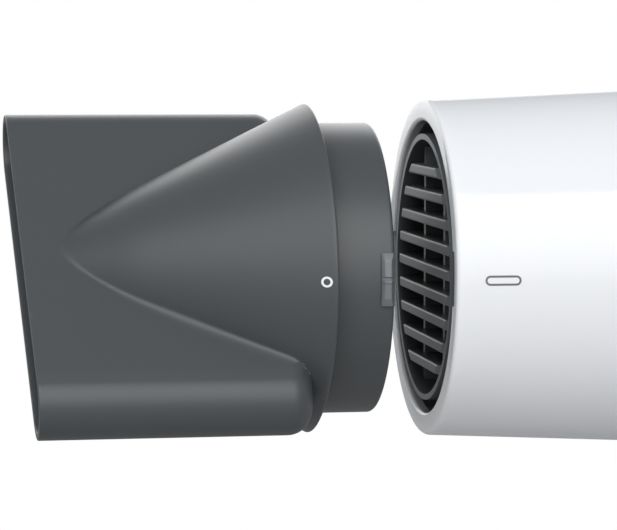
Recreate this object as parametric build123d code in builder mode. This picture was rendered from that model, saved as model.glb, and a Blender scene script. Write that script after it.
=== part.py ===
"""Hair dryer with a push-on concentrator nozzle.

Frame: the origin is the centre of the barrel's front opening, on the barrel's axis.
+X runs to the rear of the barrel, so the air blows towards -X. +Z is up, and the
handle hangs down towards -Z. The side with the fitting marks faces -Y. Millimetres.
The nozzle stands pulled off, in line with the barrel, ready to be pushed on.
"""
import os
from math import atan, cos, radians, sin, sqrt

from build123d import *

os.makedirs("parts", exist_ok=True)

# ---------------------------------------------------------------- fits and gaps
GAP = 0.35  # free space between pieces that move past each other
FIT = 0.05  # running or location fit, on each side
SEAM = 0.1  # visible joint line between a plate and its opening

# ---------------------------------------------------------------- barrel
BORE_R = 30.0  # radius of the front opening
FRONT_W = 4.55  # width of the front face, from the opening to the outer radius
BARREL_CONE = 0.049  # growth of the outer radius for each millimetre to the rear
BARREL_LEN = 132.0
BARREL_WALL = 2.4
FRONT_ROUND = 1.15  # rounding of the front face's outer edge
LIP_T = 2.2  # thickness of the lip round the front opening
LINER_T = 2.3  # wall of the liner that sits behind the lip

# ---------------------------------------------------------------- fitting marks
MARK_DEPTH = 0.3
MARK_LINE = 0.42  # width of a mark's outline
PILL_X = 9.0
PILL_LEN = 7.1
PILL_W = 2.0
DOT_R = 1.05
DOT_SETBACK = 2.36  # from the skirt's rim to the ring-shaped mark

# ---------------------------------------------------------------- nozzle
NOZZLE_GAP = 22.98  # from the front face to the skirt's rim, nozzle pulled off
SKIRT_W = 4.64  # from the collar's radius to the skirt's
SKIRT_SWEEP = 1.05  # how far the rim sweeps forward at its top and bottom
CONE_SLOPE = 0.491  # fall of the cone's radius for each millimetre to the front
CONE_LEN = 51.14  # from the rim to the point where the cone dies into the blade
NOSE_LEN = 13.1  # steeper nose of the cone, up to that point
NOZZLE_WALL = 1.5
BLADE_W = 81.13
BLADE_T = 15.0
BLADE_TILT = 45.0  # turn of the blade about the barrel's axis
BLADE_FRONT = 59.2  # from the rim to the middle of the outlet
BLADE_REAR = 4.0  # from the rim to the blade's rounded rear end
BLADE_ROUND = 4.6
OUTLET_RAKE = 2.53  # lean of the outlet's plane
RIM_ROUND = 0.5
COLLAR_GAP = 0.39  # from the collar to the front opening
COLLAR_LEN = 11.73  # how far the collar stands out behind the rim
COLLAR_WALL = 1.86
COLLAR_ROUND = 0.8
NECK_STEP = 3.61  # from the collar's radius in to the neck on which the shell turns
NECK_WALL = 1.8
SKIRT_RECESS = 2.5  # depth of the counterbore that hides the collar's shoulder
HUB_LEN = 2.5  # length of the shell's bearing on the neck
RING_T = 1.25  # retaining ring
RING_LAP = 1.2
RING_GROOVE = 0.6
RING_LAND = 1.0  # what the groove leaves at the neck's front end
LATCH_H = 10.4
LATCH_L = 2.75
LATCH_PROUD = 1.9
LATCH_DEEP = 1.2  # how far the latch is let into the collar
LATCH_EDGE = 0.5
LATCH_CREST = 1.65  # from the latch's front edge to the end of its crest
LATCH_CHAMFER = 0.9
LATCH_TAIL = 0.48  # how proud its rear end is

# ---------------------------------------------------------------- outlet grille
GRILLE_GAP = 0.38  # from the collar's bore to the grille's ring
GRILLE_WALL = 1.17
GRILLE_FRONT = 0.33
RECESS_DEPTH = 12.3  # depth of the ring-shaped recess that takes the collar
KEY_WEB = 0.55  # what a latch's keyway leaves at the recess's floor
FLANGE_T = 2.0
SLAT_COUNT = 9
SLAT_PITCH = 4.94
SLAT_T = 2.1
SLAT_DEPTH = 6.5
SLAT_STEP = 2.87  # from the grille's ring in to the front edge of the slats
SLAT_ROUND = 0.8
RIB_Y = 9.5
RIB_T = 1.6
RIB_DEPTH = 4.0

# ---------------------------------------------------------------- heater
HEATER_LEN = 60.0
MICA_T = 0.8
MICA_TUBE_T = 0.6
MICA_TUBE_GAP = 3.25  # from the barrel seat's radius in to the mica tube
COIL_OUTER_R = 21.0
COIL_INNER_R = 12.5
COIL_WIRE_R = 1.6
COIL_COUNT = 6
COIL_PITCH = 8.0
COIL_START = 9.7  # from the grille's flange to the first turn
THERMOSTAT_L = 5.5
THERMOSTAT_W = 9.0
THERMOSTAT_H = 3.4
THERMOSTAT_ROUND = 0.7
FUSE_R = 1.5
SENSOR_Y = 6.0
SENSOR_SETBACK = 1.0

# ---------------------------------------------------------------- motor and fan
DUCT_STEP = 3.5  # from the front opening's radius out to the fan duct's bore
DUCT_WALL = 1.8
LEDGE_W = 0.9  # how far the barrel's ledge stands inside the duct's bore
LEDGE_T = 2.0
MOTOR_R = 14.0
MOTOR_LEN = 20.0
MOTOR_SETBACK = 5.7  # from the duct's front to the motor can
MOTOR_CAP_T = 2.0
BOARD_T = 1.6
BOARD_STEP = 3.0  # from the motor's radius in to the board's edge
HUB_WALL = 1.5
VANE_COUNT = 7
VANE_T = 1.4
VANE_LEN = 16.0
SHAFT_R = 1.5
FAN_HUB_R = 11.0
FAN_HUB_ROUND = 2.7
FAN_SETBACK = 2.0  # from the motor can to the fan's hub
SHAFT_SETBACK = 2.0  # from the shaft's end to the hub's end
FAN_LEN = 13.0  # length of the hub
FAN_BLADE_LEN = 10.0
FAN_TIP_GAP = 0.8
FAN_BLADES = 9
FAN_BLADE_T = 1.4
FAN_PITCH = 52.0  # angle of a blade to the fan's plane

# ---------------------------------------------------------------- rear intake
REAR_RING_LEN = 6.0
REAR_SPIGOT = 8.0
COVER_LEN = 20.0
COVER_WALL = 2.0
COVER_ROUND = 13.0
COVER_PLUG = 5.0  # how far the cover plugs into the rear ring
PLUG_WALL = 2.0
SLOT_W = 2.3
INNER_SLOTS = (12, 9.0, 17.2)  # how many, and the radii they run between
OUTER_SLOTS = (24, 19.7, 29.5)
RING_ROUND = 0.5
SCREEN_T = 0.6
FILTER_RING_T = 2.0

# ---------------------------------------------------------------- handle
HANDLE_X = 92.0
HANDLE_A = 19.0  # half of the handle's depth, along X
HANDLE_B = 16.0  # half of the handle's width, along Y
HANDLE_WALL = 2.2
HANDLE_BOTTOM = 150.0  # below the barrel's axis
NECK_BOTTOM = 54.0  # lower end of the neck that the handle's halves close round
CAP_T = 3.0
CAP_DEPTH = 6.0
CAP_ROUND = 2.4
HANDLE_SCREW_Z = (-62.0, -93.0, -124.0)
HANDLE_SCREW_X = -9.0
BOSS_R = 4.6
SCREW_R = 1.25
SCREW_HEAD_R = 2.8
SCREW_HEAD_T = 1.8
SCREW_SEAT = 9.5
SCREW_DEEP = 8.0
CLAMP_Z = -137.0
CLAMP_POST_X = 7.0
CLAMP_POST_R = 2.5
CLAMP_SCREW_R = 1.05
CLAMP_T = 3.0
CLAMP_H = 6.0
CLAMP_ROUND = 1.5
SHELF_T = 2.0  # inner shelf of each half that the circuit board lies on

# ---------------------------------------------------------------- controls
PANEL_TOP = -61.0
PANEL_LEN = 62.0
PANEL_W = 15.0
PANEL_LAP = 2.0
PANEL_LAP_T = 1.2
BUTTON_Z = -70.0
BUTTON_R = 5.0
BUTTON_PROUD = 1.6
BUTTON_TRAVEL = 2.0
BUTTON_ROUND = 0.8
BUTTON_FLANGE_LAP = 1.0
BUTTON_FLANGE_T = 1.2
SLIDER_Z = {"speed": -92.0, "heat": -113.0}
SLIDER_TRAVEL = 8.0
SLIDER_W = 10.0
SLIDER_H = 10.0
SLIDER_T = 2.4
SLIDER_CORNER = 1.2
SLIDER_ROUND = 0.8
RIDGE_PITCH = 2.5
RIDGE_W = 0.8
STEM_W = 3.2
STEM_H = 4.4
STEM_DEEP = 8.0
PCB_T = 1.6
PCB_X = 1.4
SWITCH_W = 12.0
SWITCH_H = 17.0
SWITCH_ROUND = 1.0
SWITCH_LAP = 2.0  # how far a stem reaches into its switch
PLUNGER_R = 1.4
SPRING_R = 3.2
SPRING_WIRE_R = 0.3
SPRING_PITCH = 1.3

# ---------------------------------------------------------------- cord inlet and loop
CORD_R = 3.6
GLAND_R = 5.8
GLAND_LEN = 9.0
GLAND_FLANGE = 7.6
GLAND_COLLAR = 6.8  # outer collar, below the end cap
FLANGE_LEN = 2.0
LOOP_X = 12.6
LOOP_DROP = 3.0
LOOP_PIN_R = 1.2
LOOP_BARREL_R = 2.4
LOOP_BARREL_W = 9.0
LOOP_HOLE_R = 6.5
LOOP_RING_W = 3.4
LOOP_T = 3.0
LUG_T = 2.4

# ---------------------------------------------------------------- sizes worked out
BARREL_FRONT_R = BORE_R + FRONT_W
SEAT_R = BORE_R + LINER_T
COLLAR_R = BORE_R - COLLAR_GAP
SKIRT_R = COLLAR_R + SKIRT_W
NECK_R = COLLAR_R - NECK_STEP
GRILLE_R = COLLAR_R - COLLAR_WALL - GRILLE_GAP
SLAT_R = GRILLE_R - SLAT_STEP
DUCT_R = BORE_R + DUCT_STEP
LEDGE_R = DUCT_R - LEDGE_W
BOARD_R = MOTOR_R - BOARD_STEP

# ---------------------------------------------------------------- places worked out
SKIRT_X = -NOZZLE_GAP
COLLAR_REAR = SKIRT_X + COLLAR_LEN
COLLAR_SHOULDER = SKIRT_X - SKIRT_RECESS + GAP
HUB_REAR = SKIRT_X - SKIRT_RECESS
HUB_FRONT = HUB_REAR - HUB_LEN
RING_REAR = HUB_FRONT - GAP
NECK_FRONT = RING_REAR - RING_T - RING_LAND
FLANGE_FRONT = RECESS_DEPTH
HEATER_FRONT = FLANGE_FRONT + FLANGE_T
DUCT_FRONT = HEATER_FRONT + HEATER_LEN
DUCT_REAR = BARREL_LEN - REAR_SPIGOT
MICA_R = SEAT_R - MICA_TUBE_GAP
MOTOR_FRONT = DUCT_FRONT + MOTOR_SETBACK
MOTOR_REAR = MOTOR_FRONT + MOTOR_LEN
FAN_FRONT = MOTOR_REAR + FAN_SETBACK
SHAFT_END = FAN_FRONT + FAN_LEN - SHAFT_SETBACK
RING_FRONT = BARREL_LEN
RING_END = BARREL_LEN + REAR_RING_LEN
COVER_FRONT = RING_END + GAP
LATCH_R = COLLAR_R + LATCH_PROUD
CAP_BOTTOM = HANDLE_BOTTOM + CAP_T + CAP_DEPTH / 2


# ---------------------------------------------------------------- shared shapes
def barrel_radius(x):
    """Outer radius of the barrel at x."""
    return BARREL_FRONT_R + BARREL_CONE * x


def cone_radius(x, wall=0.0):
    """Outer radius of the nozzle's cone at x, or its radius a wall's thickness inside."""
    return SKIRT_R - CONE_SLOPE * (SKIRT_X - x) - wall / cos(atan(CONE_SLOPE))


def turn(*outline, mode=Mode.ADD):
    """A solid of revolution about the barrel's axis, from (x, radius) points."""
    with BuildSketch(Plane.XZ) as profile:
        with BuildLine():
            Polyline(*outline, close=True)
        make_face()
    revolve(profile.sketch, axis=Axis.X, mode=mode)


def disc(x_from, x_to, radius, mode=Mode.ADD):
    """A solid cylinder on the barrel's axis."""
    turn((x_from, 0), (x_to, 0), (x_to, radius), (x_from, radius), mode=mode)


def tube(x_from, x_to, inner, outer, mode=Mode.ADD):
    """A hollow cylinder on the barrel's axis."""
    turn((x_from, inner), (x_to, inner), (x_to, outer), (x_from, outer), mode=mode)


def block(x, y, z, mode=Mode.ADD):
    """A box between two corners, each size given as (low, high)."""
    with BuildSketch(Plane.XY.offset(z[0])) as base:
        with Locations(((x[0] + x[1]) / 2, (y[0] + y[1]) / 2)):
            Rectangle(x[1] - x[0], y[1] - y[0])
    extrude(base.sketch, amount=z[1] - z[0], mode=mode)


def rod(x, z, radius, y_from, y_to, mode=Mode.ADD):
    """A cylinder across the handle, along Y."""
    with BuildSketch(Plane.XZ.offset(-y_to)) as end:
        with Locations((x, z)):
            Circle(radius)
    extrude(end.sketch, amount=y_to - y_from, mode=mode)


def oval(inset, z_from, z_to, mode=Mode.ADD):
    """A stretch of the handle's oval section, an inset inside its surface."""
    with BuildSketch(Plane.XY.offset(z_from)) as section:
        with Locations((HANDLE_X, 0)):
            Ellipse(HANDLE_A - inset, HANDLE_B - inset)
    extrude(section.sketch, amount=z_to - z_from, mode=mode)


def save(piece, name):
    """Label a finished piece and write its file."""
    piece.part.label = name
    export_step(piece.part, f"parts/{name}.step")


# ================================================================ barrel
# The pill-shaped mark is let into the barrel's side, flush with its surface.
with BuildPart() as alignment_mark:
    with BuildSketch(Plane.XZ.offset(BORE_R)) as pill:
        with Locations((PILL_X, 0)):
            SlotOverall(PILL_LEN, PILL_W)
            SlotOverall(PILL_LEN - 2 * MARK_LINE, PILL_W - 2 * MARK_LINE, mode=Mode.SUBTRACT)
    extrude(amount=2 * BARREL_WALL + BARREL_FRONT_R - BORE_R)
    turn(
        (PILL_X - PILL_LEN, barrel_radius(PILL_X - PILL_LEN) - MARK_DEPTH),
        (PILL_X + PILL_LEN, barrel_radius(PILL_X + PILL_LEN) - MARK_DEPTH),
        (PILL_X + PILL_LEN, barrel_radius(PILL_X + PILL_LEN)),
        (PILL_X - PILL_LEN, barrel_radius(PILL_X - PILL_LEN)),
        mode=Mode.INTERSECT,
    )
save(alignment_mark, "alignment_mark")

# One tapered tube with an inward lip at the front and an oval opening down to the handle.
with BuildPart() as barrel_shell:
    turn((0, 0), (BARREL_LEN, 0), (BARREL_LEN, barrel_radius(BARREL_LEN)), (0, BARREL_FRONT_R))
    front_edge = barrel_shell.edges().filter_by(GeomType.CIRCLE).sort_by(Axis.X)[0]
    fillet(front_edge, FRONT_ROUND)
    turn(
        (-1, 0),
        (-1, BORE_R),
        (LIP_T, BORE_R),
        (LIP_T, SEAT_R),
        (HEATER_FRONT, SEAT_R),
        (HEATER_FRONT, barrel_radius(HEATER_FRONT) - BARREL_WALL),
        (DUCT_FRONT - LEDGE_T, barrel_radius(DUCT_FRONT - LEDGE_T) - BARREL_WALL),
        (DUCT_FRONT - LEDGE_T, LEDGE_R),
        (DUCT_FRONT, LEDGE_R),
        (DUCT_FRONT, barrel_radius(DUCT_FRONT) - BARREL_WALL),
        (BARREL_LEN + 1, barrel_radius(BARREL_LEN + 1) - BARREL_WALL),
        (BARREL_LEN + 1, 0),
        mode=Mode.SUBTRACT,
    )
    oval(2 * HANDLE_WALL, -NECK_BOTTOM, -barrel_radius(HANDLE_X) / 2, mode=Mode.SUBTRACT)
    block(
        (-1, LIP_T),
        (-LATCH_R - GAP, LATCH_R + GAP),
        (-LATCH_H / 2 - GAP, LATCH_H / 2 + GAP),
        mode=Mode.SUBTRACT,
    )
    add(alignment_mark.part, mode=Mode.SUBTRACT)
save(barrel_shell, "barrel_shell")

# The neck is saddled and welded to the barrel's underside, and carries the handle.
with BuildPart() as handle_neck:
    oval(HANDLE_WALL + FIT, -NECK_BOTTOM, -barrel_radius(HANDLE_X) / 2)
    oval(2 * HANDLE_WALL, -NECK_BOTTOM, -barrel_radius(HANDLE_X) / 2, mode=Mode.SUBTRACT)
    turn(
        (0, 0),
        (BARREL_LEN, 0),
        (BARREL_LEN, barrel_radius(BARREL_LEN)),
        (0, barrel_radius(0)),
        mode=Mode.SUBTRACT,
    )
save(handle_neck, "handle_neck")

# The liner is the outer wall of the recess, with two keyways for the latches.
with BuildPart() as outlet_liner:
    tube(LIP_T, FLANGE_FRONT, BORE_R, SEAT_R - FIT)
    block(
        (LIP_T, FLANGE_FRONT - KEY_WEB),
        (-SEAT_R, SEAT_R),
        (-LATCH_H / 2 - GAP, LATCH_H / 2 + GAP),
        mode=Mode.SUBTRACT,
    )
save(outlet_liner, "outlet_liner")

# The grille is one moulding: hub ring, rear flange, slats and two upright ribs.
with BuildPart() as outlet_grille:
    with BuildSketch(Plane.XZ) as slats:
        with GridLocations(0, SLAT_PITCH, 1, SLAT_COUNT):
            with Locations((GRILLE_FRONT + SLAT_DEPTH / 2, 0)):
                RectangleRounded(SLAT_DEPTH, SLAT_T, SLAT_T / 5)
    extrude(amount=GRILLE_R, both=True)
    for side in (-1, 1):
        block(
            (GRILLE_FRONT + SLAT_DEPTH - RIB_DEPTH, GRILLE_FRONT + SLAT_DEPTH + RIB_DEPTH / 2),
            (side * RIB_Y - RIB_T / 2, side * RIB_Y + RIB_T / 2),
            (-SLAT_R, SLAT_R),
        )
    with BuildSketch(Plane.XZ) as envelope:
        with BuildLine():
            Polyline(
                (GRILLE_FRONT, 0),
                (GRILLE_FRONT, SLAT_R - SLAT_ROUND),
                (GRILLE_FRONT + SLAT_ROUND, SLAT_R),
                (GRILLE_FRONT + 2 * SLAT_ROUND, SLAT_R),
                (GRILLE_FRONT + 3 * SLAT_ROUND, GRILLE_R - GRILLE_WALL / 2),
                (FLANGE_FRONT, GRILLE_R - GRILLE_WALL / 2),
                (FLANGE_FRONT, 0),
                close=True,
            )
        make_face()
    revolve(envelope.sketch, axis=Axis.X, mode=Mode.INTERSECT)
    tube(GRILLE_FRONT, HEATER_FRONT, GRILLE_R - GRILLE_WALL, GRILLE_R)
    tube(FLANGE_FRONT, HEATER_FRONT, GRILLE_R - GRILLE_WALL, SEAT_R - FIT)
save(outlet_grille, "outlet_grille")

# ================================================================ heater
COIL_X = [HEATER_FRONT + COIL_START + turn_no * COIL_PITCH for turn_no in range(COIL_COUNT)]


def coil_turns(radius, wire, mode=Mode.ADD):
    """The turns of a heating coil, as rings round the barrel's axis."""
    with BuildSketch(Plane.XZ) as sections:
        with Locations(*[(x, radius) for x in COIL_X]):
            Circle(wire)
    revolve(sections.sketch, axis=Axis.X, mode=mode)


with BuildPart() as mica_tube:
    tube(HEATER_FRONT, DUCT_FRONT, MICA_R - MICA_TUBE_T, MICA_R)
save(mica_tube, "mica_tube")

# Two crossed mica boards slot into each other and carry the coils in notches.
HEATER_MIDDLE = (HEATER_FRONT + DUCT_FRONT) / 2
MICA_HALF = MICA_R - MICA_TUBE_T - FIT
with BuildPart() as mica_board_upright:
    block((HEATER_FRONT, DUCT_FRONT), (-MICA_T / 2, MICA_T / 2), (-MICA_HALF, MICA_HALF))
    block(
        (HEATER_FRONT, HEATER_MIDDLE),
        (-MICA_T, MICA_T),
        (-MICA_T / 2 - FIT, MICA_T / 2 + FIT),
        mode=Mode.SUBTRACT,
    )
    coil_turns(COIL_OUTER_R, COIL_WIRE_R + FIT, mode=Mode.SUBTRACT)
    coil_turns(COIL_INNER_R, COIL_WIRE_R + FIT, mode=Mode.SUBTRACT)
save(mica_board_upright, "mica_board_upright")

with BuildPart() as mica_board_level:
    block((HEATER_FRONT, DUCT_FRONT), (-MICA_HALF, MICA_HALF), (-MICA_T / 2, MICA_T / 2))
    block(
        (HEATER_MIDDLE, DUCT_FRONT),
        (-MICA_T / 2 - FIT, MICA_T / 2 + FIT),
        (-MICA_T, MICA_T),
        mode=Mode.SUBTRACT,
    )
    coil_turns(COIL_OUTER_R, COIL_WIRE_R + FIT, mode=Mode.SUBTRACT)
    coil_turns(COIL_INNER_R, COIL_WIRE_R + FIT, mode=Mode.SUBTRACT)
save(mica_board_level, "mica_board_level")

with BuildPart() as heater_coil_outer:
    coil_turns(COIL_OUTER_R, COIL_WIRE_R)
save(heater_coil_outer, "heater_coil_outer")

with BuildPart() as heater_coil_inner:
    coil_turns(COIL_INNER_R, COIL_WIRE_R)
save(heater_coil_inner, "heater_coil_inner")

# The thermostat and the fuse sit on the level board, in front of the first turn.
SENSOR_FRONT = HEATER_FRONT + SENSOR_SETBACK
with BuildPart() as thermostat:
    block(
        (SENSOR_FRONT, SENSOR_FRONT + THERMOSTAT_L),
        (SENSOR_Y, SENSOR_Y + THERMOSTAT_W),
        (MICA_T / 2, MICA_T / 2 + THERMOSTAT_H),
    )
    fillet(thermostat.edges().filter_by(Axis.X), THERMOSTAT_ROUND)
save(thermostat, "thermostat")

with BuildPart() as thermal_fuse:
    rod(
        SENSOR_FRONT + 2 * FUSE_R,
        -MICA_T / 2 - FUSE_R,
        FUSE_R,
        SENSOR_Y,
        SENSOR_Y + THERMOSTAT_W,
    )
save(thermal_fuse, "thermal_fuse")

# ================================================================ motor and fan
with BuildPart() as fan_duct:
    tube(DUCT_FRONT, DUCT_REAR, DUCT_R, DUCT_R + DUCT_WALL)
    tube(
        DUCT_FRONT,
        DUCT_FRONT + LEDGE_T,
        MICA_R - 2 * MICA_TUBE_T,
        barrel_radius(DUCT_FRONT) - BARREL_WALL - FIT,
    )
    tube(
        DUCT_REAR - LEDGE_T,
        DUCT_REAR,
        DUCT_R,
        barrel_radius(DUCT_REAR - LEDGE_T) - BARREL_WALL - FIT,
    )
    with BuildSketch(Plane.YZ.offset(MOTOR_FRONT + HUB_WALL)) as vanes:
        with PolarLocations((DUCT_R + MOTOR_R) / 2 + HUB_WALL / 2, VANE_COUNT):
            Rectangle(DUCT_R - MOTOR_R, VANE_T)
    extrude(amount=VANE_LEN)
    tube(MOTOR_FRONT - HUB_WALL, MOTOR_REAR - HUB_WALL, MOTOR_R + FIT, MOTOR_R + HUB_WALL)
    tube(MOTOR_FRONT - HUB_WALL, MOTOR_FRONT, MOTOR_R - HUB_WALL / 2, MOTOR_R + HUB_WALL)
save(fan_duct, "fan_duct")

with BuildPart() as motor_can:
    disc(MOTOR_FRONT, MOTOR_REAR, MOTOR_R)
    fillet(motor_can.edges().filter_by(GeomType.CIRCLE).sort_by(Axis.X)[-1], HUB_WALL)
    disc(MOTOR_REAR, MOTOR_REAR + HUB_WALL / 2, 3 * SHAFT_R)
    disc(MOTOR_FRONT, MOTOR_REAR + HUB_WALL, SHAFT_R + FIT, mode=Mode.SUBTRACT)
save(motor_can, "motor_can")

with BuildPart() as motor_end_cap:
    tube(MOTOR_FRONT - MOTOR_CAP_T, MOTOR_FRONT, SHAFT_R + FIT, MOTOR_R - HUB_WALL)
save(motor_end_cap, "motor_end_cap")

# The rectifier board feeds the direct-current motor from the heater's lower coil.
with BuildPart() as rectifier_board:
    tube(
        MOTOR_FRONT - MOTOR_CAP_T - BOARD_T,
        MOTOR_FRONT - MOTOR_CAP_T,
        SHAFT_R + 2 * GAP,
        BOARD_R,
    )
save(rectifier_board, "rectifier_board")

with BuildPart() as motor_shaft:
    disc(MOTOR_FRONT - MOTOR_CAP_T, SHAFT_END, SHAFT_R)
save(motor_shaft, "motor_shaft")

with BuildPart() as fan_impeller:
    with BuildSketch(Plane.XY) as fan_blade:
        with Locations((FAN_FRONT + FAN_BLADE_LEN / 2, 0)):
            Rectangle(FAN_BLADE_T, 2 * FAN_BLADE_LEN, rotation=90 - FAN_PITCH)
    extrude(fan_blade.sketch, amount=DUCT_R)
    first_blade = fan_impeller.part
    for number in range(1, FAN_BLADES):
        add(first_blade.rotate(Axis.X, number * 360 / FAN_BLADES))
    tube(FAN_FRONT, FAN_FRONT + FAN_BLADE_LEN, FAN_HUB_R / 2, DUCT_R - FAN_TIP_GAP, Mode.INTERSECT)
    disc(FAN_FRONT, FAN_FRONT + FAN_LEN, FAN_HUB_R)
    hub_end = fan_impeller.edges().filter_by(GeomType.CIRCLE).sort_by(Axis.X)[-1]
    fillet(hub_end, FAN_HUB_ROUND)
    disc(FAN_FRONT - 1, SHAFT_END, SHAFT_R, mode=Mode.SUBTRACT)
save(fan_impeller, "fan_impeller")

# ================================================================ rear intake
REAR_IN_R = barrel_radius(BARREL_LEN) - BARREL_WALL - 2 * PLUG_WALL
RING_OUT_R = barrel_radius(BARREL_LEN)
with BuildPart() as rear_ring:
    tube(RING_FRONT, RING_END, REAR_IN_R, RING_OUT_R)
    fillet(rear_ring.edges().filter_by(GeomType.CIRCLE).sort_by(SortBy.RADIUS)[-2:], RING_ROUND)
    tube(
        RING_FRONT - REAR_SPIGOT,
        RING_FRONT,
        REAR_IN_R,
        barrel_radius(RING_FRONT - REAR_SPIGOT) - BARREL_WALL - FIT,
    )
save(rear_ring, "rear_ring")

# The cover is a dished grille whose plug snaps into the rear ring's bore.
PLUG_OUT_R = REAR_IN_R - GAP
PLUG_IN_R = PLUG_OUT_R - PLUG_WALL
PLUG_END = COVER_FRONT - GAP - COVER_PLUG
COVER_END = COVER_FRONT + COVER_LEN
with BuildPart() as intake_cover:
    disc(COVER_FRONT, COVER_END, RING_OUT_R)
    fillet(intake_cover.edges().filter_by(GeomType.CIRCLE).sort_by(Axis.X)[-1], COVER_ROUND)
    offset(amount=-COVER_WALL, openings=intake_cover.faces().sort_by(Axis.X)[0])
    tube(COVER_FRONT, COVER_FRONT + COVER_WALL, PLUG_IN_R, RING_OUT_R)
    tube(PLUG_END, COVER_FRONT + COVER_WALL, PLUG_IN_R, PLUG_OUT_R)
    tube(COVER_FRONT - COVER_WALL, COVER_FRONT, PLUG_IN_R - PLUG_WALL, PLUG_IN_R)
    for count, inner, outer in (INNER_SLOTS, OUTER_SLOTS):
        with BuildSketch(Plane.YZ.offset(COVER_END - COVER_ROUND)) as slots:
            with PolarLocations((inner + outer) / 2, count):
                SlotOverall(outer - inner, SLOT_W)
        extrude(slots.sketch, amount=2 * COVER_ROUND, mode=Mode.SUBTRACT)
save(intake_cover, "intake_cover")

SCREEN_FRONT = COVER_FRONT - COVER_WALL - SCREEN_T
with BuildPart() as filter_screen:
    disc(SCREEN_FRONT, SCREEN_FRONT + SCREEN_T, PLUG_IN_R - FIT)
save(filter_screen, "filter_screen")

with BuildPart() as filter_ring:
    tube(
        SCREEN_FRONT - FILTER_RING_T,
        SCREEN_FRONT,
        PLUG_IN_R - PLUG_WALL,
        PLUG_IN_R - FIT,
    )
save(filter_ring, "filter_ring")

# ================================================================ handle
PANEL_BOTTOM = PANEL_TOP - PANEL_LEN
PCB_FACE = HANDLE_X + PCB_X + PCB_T
INNER_B = HANDLE_B - HANDLE_WALL
for side, name in ((-1, "handle_half_left"), (1, "handle_half_right")):
    with BuildPart() as handle_half:
        oval(0, -HANDLE_BOTTOM, -barrel_radius(HANDLE_X) / 2)
        oval(HANDLE_WALL, -HANDLE_BOTTOM, -barrel_radius(HANDLE_X) / 2, mode=Mode.SUBTRACT)
        for z in HANDLE_SCREW_Z:
            rod(HANDLE_X + HANDLE_SCREW_X, z, BOSS_R, *sorted((0, side * HANDLE_B)))
        block(
            (HANDLE_X + PCB_X - SHELF_T, HANDLE_X + PCB_X),
            sorted((side * HANDLE_B / 2, side * HANDLE_B)),
            (PANEL_BOTTOM + PANEL_LAP, PANEL_TOP - PANEL_LAP),
        )
        oval(0, -HANDLE_BOTTOM, -barrel_radius(HANDLE_X) / 2, mode=Mode.INTERSECT)
        turn(
            (0, 0),
            (BARREL_LEN, 0),
            (BARREL_LEN, barrel_radius(BARREL_LEN)),
            (0, barrel_radius(0)),
            mode=Mode.SUBTRACT,
        )
        block(
            (HANDLE_X - HANDLE_A - 1, HANDLE_X + HANDLE_A + 1),
            sorted((0, -2 * side * HANDLE_B)),
            (-HANDLE_BOTTOM - 1, 0),
            mode=Mode.SUBTRACT,
        )
        block(
            (HANDLE_X, HANDLE_X + 2 * HANDLE_A),
            (-PANEL_W / 2, PANEL_W / 2),
            (PANEL_BOTTOM, PANEL_TOP),
            mode=Mode.SUBTRACT,
        )
        for z in HANDLE_SCREW_Z:
            hole_r = SCREW_R + FIT if side < 0 else SCREW_R + GAP
            depth = -SCREW_DEEP - 1 if side < 0 else HANDLE_B
            rod(HANDLE_X + HANDLE_SCREW_X, z, hole_r, *sorted((0, depth)), mode=Mode.SUBTRACT)
            if side > 0:
                rod(
                    HANDLE_X + HANDLE_SCREW_X,
                    z,
                    SCREW_HEAD_R + FIT,
                    SCREW_SEAT,
                    2 * HANDLE_B,
                    mode=Mode.SUBTRACT,
                )
        if side < 0:
            for post_x in (HANDLE_X - CLAMP_POST_X, HANDLE_X + CLAMP_POST_X):
                rod(post_x, CLAMP_Z, CLAMP_POST_R, HANDLE_WALL / 5 - INNER_B, CORD_R)
                rod(
                    post_x,
                    CLAMP_Z,
                    CLAMP_SCREW_R,
                    CORD_R - SCREW_DEEP,
                    CORD_R,
                    mode=Mode.SUBTRACT,
                )
    save(handle_half, name)

# One screw pattern serves the handle: countersunk seat, plain shank.
with BuildPart() as handle_screws:
    for z in HANDLE_SCREW_Z:
        rod(HANDLE_X + HANDLE_SCREW_X, z, SCREW_R, -SCREW_DEEP, SCREW_SEAT)
        rod(
            HANDLE_X + HANDLE_SCREW_X,
            z,
            SCREW_HEAD_R,
            SCREW_SEAT,
            SCREW_SEAT + SCREW_HEAD_T,
        )
save(handle_screws, "handle_screws")

with BuildPart() as screw_caps:
    for z in HANDLE_SCREW_Z:
        rod(
            HANDLE_X + HANDLE_SCREW_X,
            z,
            SCREW_HEAD_R,
            SCREW_SEAT + SCREW_HEAD_T,
            2 * HANDLE_B,
        )
    oval(0, -HANDLE_BOTTOM, 0, mode=Mode.INTERSECT)
save(screw_caps, "screw_caps")

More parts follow.
